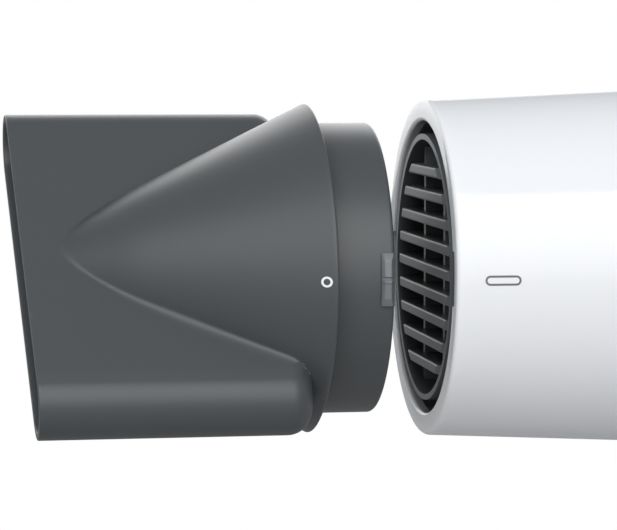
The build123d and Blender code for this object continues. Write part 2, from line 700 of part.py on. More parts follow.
with BuildPart() as end_cap:
    oval(0, -CAP_BOTTOM, -HANDLE_BOTTOM)
    fillet(end_cap.edges().sort_by(Axis.Z)[0], CAP_ROUND)
    oval(HANDLE_WALL + FIT, -HANDLE_BOTTOM, -HANDLE_BOTTOM + CAP_DEPTH)
    oval(2 * HANDLE_WALL, -CAP_BOTTOM + CAP_T, -HANDLE_BOTTOM + CAP_DEPTH, mode=Mode.SUBTRACT)
    with BuildSketch(Plane.XY.offset(-CAP_BOTTOM - 1)) as gland_hole:
        with Locations((HANDLE_X, 0)):
            Circle(GLAND_R)
    extrude(gland_hole.sketch, amount=CAP_T + 2, mode=Mode.SUBTRACT)
    for y_side in (-1, 1):
        inner_y = y_side * (LOOP_BARREL_W / 2 + GAP)
        outer_y = y_side * (LOOP_BARREL_W / 2 + GAP + LUG_T)
        with BuildSketch(Plane.XZ.offset(-max(inner_y, outer_y))) as lug:
            with Locations((HANDLE_X + LOOP_X, -CAP_BOTTOM - LOOP_DROP)):
                Circle(LOOP_BARREL_R)
            with Locations((HANDLE_X + LOOP_X, -CAP_BOTTOM - LOOP_DROP / 2 + CAP_T / 4)):
                Rectangle(2 * LOOP_BARREL_R, LOOP_DROP + CAP_T / 2)
        extrude(lug.sketch, amount=LUG_T)
    rod(
        HANDLE_X + LOOP_X,
        -CAP_BOTTOM - LOOP_DROP,
        LOOP_PIN_R,
        -HANDLE_B,
        HANDLE_B,
        mode=Mode.SUBTRACT,
    )
save(end_cap, "end_cap")

# The gland is a rubber bush that the mains lead passes through.
GLAND_TOP = -CAP_BOTTOM + CAP_T + FLANGE_LEN
with BuildPart() as cord_gland:
    for radius, z_from, z_to in (
        (GLAND_R, GLAND_TOP - GLAND_LEN, GLAND_TOP),
        (GLAND_FLANGE, GLAND_TOP - FLANGE_LEN, GLAND_TOP),
        (GLAND_COLLAR, -CAP_BOTTOM - FLANGE_LEN, -CAP_BOTTOM),
    ):
        with BuildSketch(Plane.XY.offset(z_from)) as gland_ring:
            with Locations((HANDLE_X, 0)):
                Circle(radius)
        extrude(gland_ring.sketch, amount=z_to - z_from)
    with BuildSketch(Plane.XY.offset(GLAND_TOP - GLAND_LEN - 1)) as cord_hole:
        with Locations((HANDLE_X, 0)):
            Circle(CORD_R)
    extrude(cord_hole.sketch, amount=GLAND_LEN + 2, mode=Mode.SUBTRACT)
save(cord_gland, "cord_gland")

with BuildPart() as cord_clamp:
    block(
        (HANDLE_X - CLAMP_POST_X - CLAMP_POST_R, HANDLE_X + CLAMP_POST_X + CLAMP_POST_R),
        (CORD_R, CORD_R + CLAMP_T),
        (CLAMP_Z - CLAMP_H / 2, CLAMP_Z + CLAMP_H / 2),
    )
    fillet(cord_clamp.edges().filter_by(Axis.Y), CLAMP_ROUND)
    for offset_x in (-CLAMP_POST_X, CLAMP_POST_X):
        rod(
            HANDLE_X + offset_x,
            CLAMP_Z,
            CLAMP_SCREW_R + FIT,
            0,
            CORD_R + CLAMP_T + 1,
            mode=Mode.SUBTRACT,
        )
save(cord_clamp, "cord_clamp")

with BuildPart() as clamp_screws:
    for offset_x in (-CLAMP_POST_X, CLAMP_POST_X):
        rod(
            HANDLE_X + offset_x,
            CLAMP_Z,
            CLAMP_SCREW_R,
            CORD_R - SCREW_DEEP,
            CORD_R + CLAMP_T,
        )
        rod(
            HANDLE_X + offset_x,
            CLAMP_Z,
            2 * CLAMP_SCREW_R,
            CORD_R + CLAMP_T,
            CORD_R + CLAMP_T + SCREW_HEAD_T,
        )
save(clamp_screws, "clamp_screws")

# ================================================================ hanging loop
LOOP_PIVOT_X = HANDLE_X + LOOP_X
LOOP_PIVOT_Z = -CAP_BOTTOM - LOOP_DROP
LOOP_RING_Z = LOOP_PIVOT_Z - LOOP_BARREL_R - GAP - LOOP_HOLE_R - LOOP_RING_W
with BuildPart() as hanging_loop:
    with BuildSketch(Plane.YZ.offset(LOOP_PIVOT_X - LOOP_T / 2)) as loop_face:
        with Locations((0, LOOP_RING_Z)):
            Circle(LOOP_HOLE_R + LOOP_RING_W)
        with Locations((0, LOOP_PIVOT_Z - LOOP_BARREL_R)):
            Rectangle(LOOP_BARREL_W, 2 * LOOP_BARREL_R + LOOP_RING_W)
        with Locations((0, LOOP_RING_Z)):
            Circle(LOOP_HOLE_R, mode=Mode.SUBTRACT)
    extrude(loop_face.sketch, amount=LOOP_T)
    block(
        (LOOP_PIVOT_X - LOOP_T, LOOP_PIVOT_X + LOOP_T),
        (-2 * LOOP_BARREL_W, 2 * LOOP_BARREL_W),
        (LOOP_PIVOT_Z, 0),
        mode=Mode.SUBTRACT,
    )
    rod(LOOP_PIVOT_X, LOOP_PIVOT_Z, LOOP_BARREL_R, -LOOP_BARREL_W / 2, LOOP_BARREL_W / 2)
    rod(
        LOOP_PIVOT_X,
        LOOP_PIVOT_Z,
        LOOP_PIN_R + FIT,
        -LOOP_BARREL_W,
        LOOP_BARREL_W,
        mode=Mode.SUBTRACT,
    )
save(hanging_loop, "hanging_loop")

with BuildPart() as loop_pin:
    rod(
        LOOP_PIVOT_X,
        LOOP_PIVOT_Z,
        LOOP_PIN_R,
        -LOOP_BARREL_W / 2 - GAP - LUG_T,
        LOOP_BARREL_W / 2 + GAP + LUG_T,
    )
save(loop_pin, "loop_pin")

# ================================================================ controls
# The panel fills an opening on the handle's seam and laps behind its edges.
STEM_TIP = HANDLE_X + HANDLE_A - STEM_DEEP
with BuildPart() as control_panel:
    oval(HANDLE_WALL, PANEL_BOTTOM - PANEL_LAP, PANEL_TOP + PANEL_LAP)
    oval(
        HANDLE_WALL + PANEL_LAP_T,
        PANEL_BOTTOM - PANEL_LAP,
        PANEL_TOP + PANEL_LAP,
        mode=Mode.SUBTRACT,
    )
    block(
        (HANDLE_X, HANDLE_X + 2 * HANDLE_A),
        (-PANEL_W / 2 - PANEL_LAP, PANEL_W / 2 + PANEL_LAP),
        (PANEL_BOTTOM - PANEL_LAP, PANEL_TOP + PANEL_LAP),
        mode=Mode.INTERSECT,
    )
    with BuildSketch(Plane.XY.offset(PANEL_BOTTOM + SEAM)) as panel_section:
        with Locations((HANDLE_X, 0)):
            Ellipse(HANDLE_A, HANDLE_B)
            Ellipse(HANDLE_A - HANDLE_WALL, HANDLE_B - HANDLE_WALL, mode=Mode.SUBTRACT)
        with Locations((HANDLE_X + HANDLE_A, 0)):
            Rectangle(2 * HANDLE_A, PANEL_W - 2 * SEAM, mode=Mode.INTERSECT)
    extrude(panel_section.sketch, amount=PANEL_LEN - 2 * SEAM)
    with BuildSketch(Plane.YZ.offset(HANDLE_X + HANDLE_A / 2)) as openings:
        with Locations((0, BUTTON_Z)):
            Circle(BUTTON_R + GAP)
        for z in SLIDER_Z.values():
            with Locations((0, z + SLIDER_TRAVEL / 2)):
                Rectangle(STEM_W + 2 * GAP, STEM_H + SLIDER_TRAVEL + 2 * GAP)
    extrude(openings.sketch, amount=HANDLE_A, mode=Mode.SUBTRACT)
save(control_panel, "control_panel")

# Each slider is a ridged thumb piece on a stem that reaches its switch.
for use, z in SLIDER_Z.items():
    with BuildPart() as slider:
        oval(-GAP - SLIDER_T, z - SLIDER_H / 2, z + SLIDER_H / 2)
        block(
            (HANDLE_X, HANDLE_X + 2 * HANDLE_A),
            (-SLIDER_W / 2, SLIDER_W / 2),
            (z - SLIDER_H / 2, z + SLIDER_H / 2),
            mode=Mode.INTERSECT,
        )
        fillet(slider.edges().filter_by(Axis.X), SLIDER_CORNER)
        fillet(slider.edges().filter_by(GeomType.ELLIPSE).sort_by(Axis.X)[-2:], SLIDER_ROUND)
        for ridge_z in (z - RIDGE_PITCH, z, z + RIDGE_PITCH):
            block(
                (HANDLE_X + HANDLE_A + GAP + SLIDER_T / 2, HANDLE_X + 2 * HANDLE_A),
                (-SLIDER_W, SLIDER_W),
                (ridge_z - RIDGE_W / 2, ridge_z + RIDGE_W / 2),
                mode=Mode.SUBTRACT,
            )
        oval(-GAP, z - SLIDER_H, z + SLIDER_H, mode=Mode.SUBTRACT)
        block(
            (STEM_TIP, HANDLE_X + HANDLE_A + 2 * GAP),
            (-STEM_W / 2, STEM_W / 2),
            (z - STEM_H / 2, z + STEM_H / 2),
        )
    save(slider, f"{use}_slider")

    with BuildPart() as switch:
        block(
            (PCB_FACE, STEM_TIP + SWITCH_LAP),
            (-SWITCH_W / 2, SWITCH_W / 2),
            (z + SLIDER_TRAVEL / 2 - SWITCH_H / 2, z + SLIDER_TRAVEL / 2 + SWITCH_H / 2),
        )
        fillet(switch.edges().filter_by(Axis.X), SWITCH_ROUND)
        block(
            (STEM_TIP - GAP, STEM_TIP + 2 * SWITCH_LAP),
            (-STEM_W / 2 - GAP, STEM_W / 2 + GAP),
            (z - STEM_H / 2 - GAP, z + STEM_H / 2 + SLIDER_TRAVEL + GAP),
            mode=Mode.SUBTRACT,
        )
    save(switch, f"{use}_switch")

# The cool-shot button is sprung, and presses the plunger of its own switch.
BUTTON_FLANGE_R = BUTTON_R + BUTTON_FLANGE_LAP
BUTTON_FLANGE_FRONT = HANDLE_X + (HANDLE_A - HANDLE_WALL - PANEL_LAP_T) * sqrt(
    1 - (BUTTON_FLANGE_R / (HANDLE_B - HANDLE_WALL - PANEL_LAP_T)) ** 2
)
BUTTON_BACK = BUTTON_FLANGE_FRONT - GAP - BUTTON_FLANGE_T
with BuildPart() as cool_button:
    with BuildSketch(Plane.YZ.offset(BUTTON_BACK)) as button_face:
        with Locations((0, BUTTON_Z)):
            Circle(BUTTON_R)
    extrude(button_face.sketch, amount=HANDLE_X + HANDLE_A + BUTTON_PROUD - BUTTON_BACK)
    fillet(cool_button.edges().filter_by(GeomType.CIRCLE).sort_by(Axis.X)[-1], BUTTON_ROUND)
    with BuildSketch(Plane.YZ.offset(BUTTON_BACK)) as button_flange:
        with Locations((0, BUTTON_Z)):
            Circle(BUTTON_FLANGE_R)
    extrude(button_flange.sketch, amount=BUTTON_FLANGE_T)
save(cool_button, "cool_button")

COOL_SWITCH_FRONT = BUTTON_BACK - 2 * BUTTON_TRAVEL
with BuildPart() as cool_switch:
    block(
        (PCB_FACE, COOL_SWITCH_FRONT),
        (-SWITCH_W / 2, SWITCH_W / 2),
        (BUTTON_Z - SWITCH_W / 2, BUTTON_Z + SWITCH_W / 2),
    )
    fillet(cool_switch.edges().filter_by(Axis.X), SWITCH_ROUND)
    with BuildSketch(Plane.YZ.offset(COOL_SWITCH_FRONT)) as plunger:
        with Locations((0, BUTTON_Z)):
            Circle(PLUNGER_R)
    extrude(plunger.sketch, amount=BUTTON_TRAVEL - GAP)
save(cool_switch, "cool_switch")

with BuildPart() as button_spring:
    with BuildLine() as coil:
        Helix(
            pitch=SPRING_PITCH,
            height=BUTTON_BACK - COOL_SWITCH_FRONT - 2 * SPRING_WIRE_R,
            radius=SPRING_R,
            center=(COOL_SWITCH_FRONT + SPRING_WIRE_R, 0, BUTTON_Z),
            direction=(1, 0, 0),
        )
    with BuildSketch(Plane(coil.line @ 0, z_dir=coil.line % 0)):
        Circle(SPRING_WIRE_R)
    sweep()
save(button_spring, "button_spring")

with BuildPart() as circuit_board:
    block(
        (HANDLE_X + PCB_X, PCB_FACE),
        (-HANDLE_B + 2 * HANDLE_WALL, HANDLE_B - 2 * HANDLE_WALL),
        (PANEL_BOTTOM + PANEL_LAP, PANEL_TOP - PANEL_LAP),
    )
save(circuit_board, "circuit_board")

# ================================================================ nozzle
OUTLET_X = SKIRT_X - BLADE_FRONT
CONE_TIP_X = SKIRT_X - CONE_LEN
NOSE_X = CONE_TIP_X + NOSE_LEN
tilt = radians(BLADE_TILT)
rake = radians(OUTLET_RAKE)
outlet_plane = Plane(
    origin=(OUTLET_X, 0, 0),
    z_dir=(cos(rake), sin(rake) * sin(tilt), sin(rake) * cos(tilt)),
)
with BuildPart() as nozzle_mark:
    with BuildSketch(Plane.XZ.offset(SKIRT_R / 2)) as dot:
        with Locations((SKIRT_X - DOT_SETBACK, 0)):
            Circle(DOT_R)
            Circle(DOT_R - MARK_LINE, mode=Mode.SUBTRACT)
    extrude(amount=SKIRT_R)
    turn(
        (HUB_FRONT, cone_radius(HUB_FRONT) - MARK_DEPTH),
        (SKIRT_X, cone_radius(SKIRT_X) - MARK_DEPTH),
        (SKIRT_X, cone_radius(SKIRT_X)),
        (HUB_FRONT, cone_radius(HUB_FRONT)),
        mode=Mode.INTERSECT,
    )
save(nozzle_mark, "nozzle_mark")

# A flat blade runs through a cone; both are hollow, and the skirt holds the bearing hub.
with BuildPart() as nozzle_shell:
    with BuildSketch(Plane.YZ.offset(SKIRT_X - BLADE_REAR)) as blade_outline:
        SlotOverall(BLADE_W, BLADE_T, rotation=90 - BLADE_TILT)
    extrude(blade_outline.sketch, amount=-BLADE_FRONT - BLADE_ROUND + BLADE_REAR)
    fillet(nozzle_shell.edges().group_by(Axis.X)[-1], BLADE_ROUND)
    turn(
        (SKIRT_X, 0),
        (SKIRT_X, SKIRT_R),
        (NOSE_X, cone_radius(NOSE_X)),
        (CONE_TIP_X - NOSE_LEN / 4, BLADE_T / 2 - (cone_radius(NOSE_X) - BLADE_T / 2) / 4),
        (CONE_TIP_X - NOSE_LEN / 4, 0),
    )
    with BuildSketch(Plane.YZ.offset(SKIRT_X - BLADE_REAR - NOZZLE_WALL)) as blade_hollow:
        SlotOverall(
            BLADE_W - 2 * NOZZLE_WALL,
            BLADE_T - 2 * NOZZLE_WALL,
            rotation=90 - BLADE_TILT,
        )
    extrude(blade_hollow.sketch, amount=-BLADE_FRONT - BLADE_ROUND, mode=Mode.SUBTRACT)
    turn(
        (HUB_FRONT, 0),
        (HUB_FRONT, cone_radius(HUB_FRONT, NOZZLE_WALL)),
        (NOSE_X, cone_radius(NOSE_X, NOZZLE_WALL)),
        (CONE_TIP_X, BLADE_T / 2 - NOZZLE_WALL),
        (CONE_TIP_X, 0),
        mode=Mode.SUBTRACT,
    )
    disc(HUB_FRONT - 1, SKIRT_X, NECK_R + FIT, mode=Mode.SUBTRACT)
    turn(
        (HUB_REAR, 0),
        (HUB_REAR, cone_radius(HUB_REAR, NOZZLE_WALL)),
        (SKIRT_X, cone_radius(SKIRT_X, NOZZLE_WALL)),
        (SKIRT_X, 0),
        mode=Mode.SUBTRACT,
    )
    with BuildSketch(Plane.XZ) as sweep_cut:
        with BuildLine():
            ThreePointArc(
                (SKIRT_X - SKIRT_SWEEP, -SKIRT_R),
                (SKIRT_X, 0),
                (SKIRT_X - SKIRT_SWEEP, SKIRT_R),
            )
            Polyline(
                (SKIRT_X - SKIRT_SWEEP, SKIRT_R),
                (SKIRT_X + SKIRT_R, SKIRT_R),
                (SKIRT_X + SKIRT_R, -SKIRT_R),
                (SKIRT_X - SKIRT_SWEEP, -SKIRT_R),
            )
        make_face()
    extrude(sweep_cut.sketch, amount=2 * SKIRT_R, both=True, mode=Mode.SUBTRACT)
    split(bisect_by=outlet_plane, keep=Keep.TOP)
    skirt = nozzle_shell.edges().filter_by_position(Axis.X, HUB_REAR + GAP, SKIRT_X + GAP)
    fillet(skirt.sort_by(SortBy.LENGTH)[-2:], RIM_ROUND)
    add(nozzle_mark.part, mode=Mode.SUBTRACT)
save(nozzle_shell, "nozzle_shell")

# The collar plugs into the barrel; the shell turns on its neck.
LATCH_FRONT = COLLAR_REAR - LATCH_L
with BuildPart() as nozzle_collar:
    tube(COLLAR_SHOULDER, COLLAR_REAR, COLLAR_R - COLLAR_WALL, COLLAR_R)
    rear_edge = nozzle_collar.edges().filter_by(GeomType.CIRCLE).sort_by(SortBy.RADIUS)[-2:]
    fillet(rear_edge.sort_by(Axis.X)[-1], COLLAR_ROUND)
    tube(COLLAR_SHOULDER, SKIRT_X, NECK_R - NECK_WALL, COLLAR_R)
    tube(NECK_FRONT, COLLAR_SHOULDER, NECK_R - NECK_WALL, NECK_R)
    tube(RING_REAR - RING_T, RING_REAR, NECK_R - RING_GROOVE, NECK_R + 1, mode=Mode.SUBTRACT)
    block(
        (LATCH_FRONT, COLLAR_REAR + 1),
        (-SEAT_R, SEAT_R),
        (-LATCH_H / 2, LATCH_H / 2),
        mode=Mode.SUBTRACT,
    )
    tube(LATCH_FRONT, COLLAR_REAR, COLLAR_R - COLLAR_WALL, COLLAR_R - LATCH_DEEP)
save(nozzle_collar, "nozzle_collar")

with BuildPart() as nozzle_latches:
    for y_side in (-1, 1):
        with BuildSketch(Plane.XY.offset(-LATCH_H / 2)) as latch_profile:
            with BuildLine():
                Polyline(
                    (LATCH_FRONT, 0),
                    (LATCH_FRONT, y_side * (LATCH_R - LATCH_EDGE)),
                    (LATCH_FRONT + LATCH_EDGE, y_side * LATCH_R),
                    (LATCH_FRONT + LATCH_CREST, y_side * LATCH_R),
                    (COLLAR_REAR, y_side * (COLLAR_R + LATCH_TAIL)),
                    (COLLAR_REAR, 0),
                    close=True,
                )
            make_face()
        extrude(latch_profile.sketch, amount=LATCH_H)
    outer_edges = nozzle_latches.edges().filter_by(lambda edge: abs(edge.center().Y) > COLLAR_R)
    chamfer(outer_edges.filter_by(Axis.X), LATCH_CHAMFER)
    disc(LATCH_FRONT - 1, COLLAR_REAR + 1, COLLAR_R - LATCH_DEEP, mode=Mode.SUBTRACT)
save(nozzle_latches, "nozzle_latches")

with BuildPart() as retaining_ring:
    tube(RING_REAR - RING_T, RING_REAR, NECK_R - RING_GROOVE, NECK_R + RING_LAP)
save(retaining_ring, "retaining_ring")
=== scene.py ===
"""Looks for the hair dryer with its push-on nozzle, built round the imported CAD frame.

Each sub-assembly is a class: its dataclass fields are sizes in metres, and its methods make
the meshes and dress them. Finishes are small frozen dataclasses that share three node groups.
"""
from __future__ import annotations

import logging
import math
from collections.abc import Callable
from dataclasses import dataclass, field
from enum import Enum

import bpy
import numpy as np
from mathutils import Matrix, Vector


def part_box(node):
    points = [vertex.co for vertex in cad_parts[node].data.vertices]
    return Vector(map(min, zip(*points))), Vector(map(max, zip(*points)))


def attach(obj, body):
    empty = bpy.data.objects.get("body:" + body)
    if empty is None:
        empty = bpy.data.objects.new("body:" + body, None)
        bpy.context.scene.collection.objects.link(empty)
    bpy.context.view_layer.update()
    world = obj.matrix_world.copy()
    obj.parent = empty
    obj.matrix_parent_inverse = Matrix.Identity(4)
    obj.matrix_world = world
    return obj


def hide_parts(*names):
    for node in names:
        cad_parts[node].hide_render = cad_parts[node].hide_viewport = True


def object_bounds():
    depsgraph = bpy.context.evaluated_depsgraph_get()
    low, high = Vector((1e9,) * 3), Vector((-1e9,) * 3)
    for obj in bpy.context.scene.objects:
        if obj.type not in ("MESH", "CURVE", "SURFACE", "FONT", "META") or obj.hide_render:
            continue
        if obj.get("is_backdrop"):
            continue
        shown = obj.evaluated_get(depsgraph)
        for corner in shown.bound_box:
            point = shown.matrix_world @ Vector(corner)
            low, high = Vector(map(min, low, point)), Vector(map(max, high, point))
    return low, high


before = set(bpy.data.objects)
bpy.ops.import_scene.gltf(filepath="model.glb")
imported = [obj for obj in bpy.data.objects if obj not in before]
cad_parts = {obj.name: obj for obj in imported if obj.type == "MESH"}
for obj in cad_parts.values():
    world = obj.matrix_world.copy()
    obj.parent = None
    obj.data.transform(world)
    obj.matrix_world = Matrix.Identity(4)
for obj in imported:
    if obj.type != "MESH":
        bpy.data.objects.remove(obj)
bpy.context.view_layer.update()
LOG = logging.getLogger("hair_dryer")
MM = 0.001
Colour = tuple[float, float, float]
Outline = list[tuple[float, float]]
Piece = bpy.types.Object
Plug = bpy.types.NodeSocket
MIX_LOW, MIX_HIGH, MIX_COLOUR = 6, 7, 2  # a colour mix node's sockets
DUST_COLOUR = (0.55, 0.54, 0.52)


class Side(Enum):
    """The two sides of the dryer, as the sign of Y."""

    MARKS = -1
    FAR = 1


class Flag(Enum):
    """What a light does with the pieces it is given."""

    ONLY = "INCLUDE"
    SPARE = "EXCLUDE"


# ---------------- shared node groups
@dataclass(frozen=True)
class Socket:
    """One input or output of a shared node group."""

    name: str
    kind: str = "NodeSocketFloat"
    value: float | tuple[float, ...] | None = None


class Nodes:
    """A shader node tree that nodes and links are added to."""

    def __init__(self, tree: bpy.types.NodeTree) -> None:
        """Keep the tree."""
        self.tree = tree

    def node(self, kind: str, **settings: object) -> bpy.types.Node:
        """Add a node to the tree.

        Args:
            kind: the node's Blender type.
            settings: attributes to set on it.

        Returns:
            The new node.
        """
        made = self.tree.nodes.new(kind)
        for key, value in settings.items():
            setattr(made, key, value)
        return made

    def link(self, start: Plug, end: Plug) -> None:
        """Join two sockets."""
        self.tree.links.new(start, end)


class EffectGroup(Nodes):
    """A shader node group with named inputs and outputs, made once and placed in materials."""

    def __init__(self, name: str, inputs: list[Socket], outputs: list[Socket]) -> None:
        """Make the empty group.

        Args:
            name: the group's name.
            inputs: its input sockets, with their default values.
            outputs: its output sockets.
        """
        super().__init__(bpy.data.node_groups.new(name, "ShaderNodeTree"))
        for socket in inputs:
            made = self.tree.interface.new_socket(socket.name, in_out="INPUT", socket_type=socket.kind)
            if socket.value is not None:
                made.default_value = socket.value
        for socket in outputs:
            self.tree.interface.new_socket(socket.name, in_out="OUTPUT", socket_type=socket.kind)
        self.inside = self.tree.nodes.new("NodeGroupInput")
        self.outside = self.tree.nodes.new("NodeGroupOutput")

    def noise(self, scale: Plug | float, detail: float) -> Plug:
        """Noise over object space.

        Args:
            scale: a socket or a number for the noise's scale.
            detail: its number of octaves.

        Returns:
            The noise's value socket.
        """
        place = self.node("ShaderNodeTexCoord")
        made = self.node("ShaderNodeTexNoise")
        made.inputs["Detail"].default_value = detail
        self.link(place.outputs["Object"], made.inputs["Vector"])
        if isinstance(scale, float):
            made.inputs["Scale"].default_value = scale
        else:
            self.link(scale, made.inputs["Scale"])
        return made.outputs["Fac"]

    def math(self, operation: str, *values: Plug | float) -> Plug:
        """A math node on sockets or numbers.

        Args:
            operation: Blender's name of the operation.
            values: what it works on.

        Returns:
            The result's socket.
        """
        made = self.node("ShaderNodeMath", operation=operation)
        for number, value in enumerate(values):
            if isinstance(value, (int, float)):
                made.inputs[number].default_value = value
            else:
                self.link(value, made.inputs[number])
        return made.outputs[0]


class Effects:
    """The shared effects: moulded grain, handling wear and settled dust."""

    def __init__(self) -> None:
        """Build the three groups."""
        self.grain = self._grain()
        self.wear = self._wear()
        self.dust = self._dust()

    @staticmethod
    def _grain() -> EffectGroup:
        """Spark-eroded mould texture.

        Returns:
            A group that puts out a bump height, a roughness and a faint shade.
        """
        group = EffectGroup(
            "moulded_grain",
            [
                Socket("Scale", value=2600.0),
                Socket("Roughness", value=0.45),
                Socket("Spread", value=0.08),
                Socket("Shade", value=0.03),
            ],
            [Socket("Height"), Socket("Roughness"), Socket("Shade")],
        )
        fine = group.noise(group.inside.outputs["Scale"], 3.0)
        broad = group.noise(38.0, 2.0)
        group.link(fine, group.outside.inputs["Height"])
        centred = group.math("SUBTRACT", broad, 0.5)
        spread = group.math("MULTIPLY", centred, group.inside.outputs["Spread"])
        rough = group.math("ADD", group.inside.outputs["Roughness"], spread)
        group.link(rough, group.outside.inputs["Roughness"])
        shade = group.math("MULTIPLY", group.math("SUBTRACT", fine, 0.5), group.inside.outputs["Shade"])
        group.link(group.math("ADD", shade, 1.0), group.outside.inputs["Shade"])
        return group

    @staticmethod
    def _wear() -> EffectGroup:
        """Edges rubbed by handling.

        Returns:
            A group that puts out a mask, strongest on convex edges.
        """
        group = EffectGroup(
            "edge_wear",
            [Socket("Amount", value=0.4), Socket("Scale", value=220.0)],
            [Socket("Mask")],
        )
        shape = group.node("ShaderNodeNewGeometry")
        ramp = group.node("ShaderNodeMapRange")
        ramp.inputs["From Min"].default_value = 0.52
        ramp.inputs["From Max"].default_value = 0.62
        group.link(shape.outputs["Pointiness"], ramp.inputs["Value"])
        broken = group.noise(group.inside.outputs["Scale"], 4.0)
        mask = group.math("MULTIPLY", ramp.outputs["Result"], broken)
        group.link(
            group.math("MULTIPLY", mask, group.inside.outputs["Amount"]),
            group.outside.inputs["Mask"],
        )
        return group

    @staticmethod
    def _dust() -> EffectGroup:
        """Fine dust on faces that look up.

        Returns:
            A group that puts out a mask.
        """
        group = EffectGroup("settled_dust", [Socket("Amount", value=0.1)], [Socket("Mask")])
        shape = group.node("ShaderNodeNewGeometry")
        split = group.node("ShaderNodeSeparateXYZ")
        group.link(shape.outputs["Normal"], split.inputs[0])
        up = group.math("MAXIMUM", split.outputs["Z"], 0.0)
        specks = group.math("POWER", group.noise(900.0, 5.0), 3.0)
        mask = group.math("MULTIPLY", up, specks)
        group.link(
            group.math("MULTIPLY", mask, group.inside.outputs["Amount"]),
            group.outside.inputs["Mask"],
        )
        return group


# ---------------- finishes
class Dresser(Nodes):
    """Helps a finish to put its material's nodes together."""

    def __init__(self, name: str) -> None:
        """Start a material with a Principled shader.

        Args:
            name: the material's name.
        """
        self.material = bpy.data.materials.new(name)
        self.material.use_nodes = True
        super().__init__(self.material.node_tree)
        self.shader = self.tree.nodes["Principled BSDF"]

    def effect(self, group: EffectGroup, **values: float) -> bpy.types.Node:
        """Place a shared effect.

        Args:
            group: the effect.
            values: its inputs, by name.

        Returns:
            The group's node.
        """
        made = self.node("ShaderNodeGroup", node_tree=group.tree)
        for key, value in values.items():
            made.inputs[key].default_value = value
        return made

    def bump(self, height: Plug, distance: float) -> None:
        """Feed a height to the shader's normal.

        Args:
            height: the height socket.
            distance: the height's size in metres.
        """
        made = self.node("ShaderNodeBump")
        made.inputs["Distance"].default_value = distance
        made.inputs["Strength"].default_value = 1.0
        self.link(height, made.inputs["Height"])
        self.link(made.outputs["Normal"], self.shader.inputs["Normal"])

    def blend(self, mask: Plug, low: Colour | Plug, high: Colour) -> Plug:
        """Mix two colours by a mask.

        Args:
            mask: where the second colour shows.
            low: the first colour, or its socket.
            high: the second colour.

        Returns:
            The mixed colour's socket.
        """
        made = self.node("ShaderNodeMix", data_type="RGBA")
        self.link(mask, made.inputs["Factor"])
        if isinstance(low, tuple):
            made.inputs[MIX_LOW].default_value = (*low, 1.0)
        else:
            self.link(low, made.inputs[MIX_LOW])
        made.inputs[MIX_HIGH].default_value = (*high, 1.0)
        return made.outputs[MIX_COLOUR]

    def surface(self, colour: Plug, grain: bpy.types.Node) -> None:
        """Feed a colour, shaded by the grain, and the grain's roughness to the shader.

        Args:
            colour: the colour's socket.
            grain: the placed grain effect.
        """
        shaded = self.node("ShaderNodeVectorMath", operation="SCALE")
        self.link(colour, shaded.inputs[0])
        self.link(grain.outputs["Shade"], shaded.inputs["Scale"])
        self.link(shaded.outputs[0], self.shader.inputs["Base Color"])
        self.link(grain.outputs["Roughness"], self.shader.inputs["Roughness"])


@dataclass(frozen=True)
class MouldedPlastic:
    """Injection-moulded plastic with a fine grain, rubbed edges and a little dust."""

    name: str
    colour: Colour
    worn: Colour
    roughness: float
    spread: float = 0.06
    grain: float = 2600.0
    height: float = 0.000006
    shade: float = 0.05
    wear: float = 0.5
    dust: float = 0.08
    coat: float = 0.0
    coat_roughness: float = 0.03
    specular: float = 0.5

    def build(self, effects: Effects) -> bpy.types.Material:
        """Make the material.

        Args:
            effects: the shared node groups.

        Returns:
            The material.
        """
        dresser = Dresser(self.name)
        grain = dresser.effect(
            effects.grain,
            Scale=self.grain,
            Roughness=self.roughness,
            Spread=self.spread,
            Shade=self.shade,
        )
        wear = dresser.effect(effects.wear, Amount=self.wear)
        dust = dresser.effect(effects.dust, Amount=self.dust)
        colour = dresser.blend(wear.outputs["Mask"], self.colour, self.worn)
        colour = dresser.blend(dust.outputs["Mask"], colour, DUST_COLOUR)
        dresser.surface(colour, grain)
        dresser.bump(grain.outputs["Height"], self.height)
        dresser.shader.inputs["Specular IOR Level"].default_value = self.specular
        dresser.shader.inputs["Coat Weight"].default_value = self.coat
        dresser.shader.inputs["Coat Roughness"].default_value = self.coat_roughness
        return dresser.material


@dataclass(frozen=True)
class Metal:
    """Bare metal with drawn lines along one axis."""

    name: str
    colour: Colour
    roughness: float = 0.3
    stretch: tuple[float, float, float] = (60.0, 1800.0, 1800.0)
    height: float = 0.000004
    rubbed: Colour = (0.8, 0.8, 0.8)
    wear: float = 0.6

    def build(self, effects: Effects) -> bpy.types.Material:
        """Make the material.

        Args:
            effects: the shared node groups.

        Returns:
            The material.
        """
        dresser = Dresser(self.name)
        place = dresser.node("ShaderNodeTexCoord")
        stretch = dresser.node("ShaderNodeMapping")
        stretch.inputs["Scale"].default_value = self.stretch
        lines = dresser.node("ShaderNodeTexNoise")
        lines.inputs["Scale"].default_value = 1.0
        dresser.link(place.outputs["Object"], stretch.inputs["Vector"])
        dresser.link(stretch.outputs["Vector"], lines.inputs["Vector"])
        wear = dresser.effect(effects.wear, Amount=self.wear)
        colour = dresser.blend(wear.outputs["Mask"], self.colour, self.rubbed)
        grain = dresser.effect(
            effects.grain, Scale=900.0, Roughness=self.roughness, Spread=0.12, Shade=0.12
        )
        dresser.surface(colour, grain)
        dresser.shader.inputs["Metallic"].default_value = 1.0
        dresser.bump(lines.outputs["Fac"], self.height)
        return dresser.material


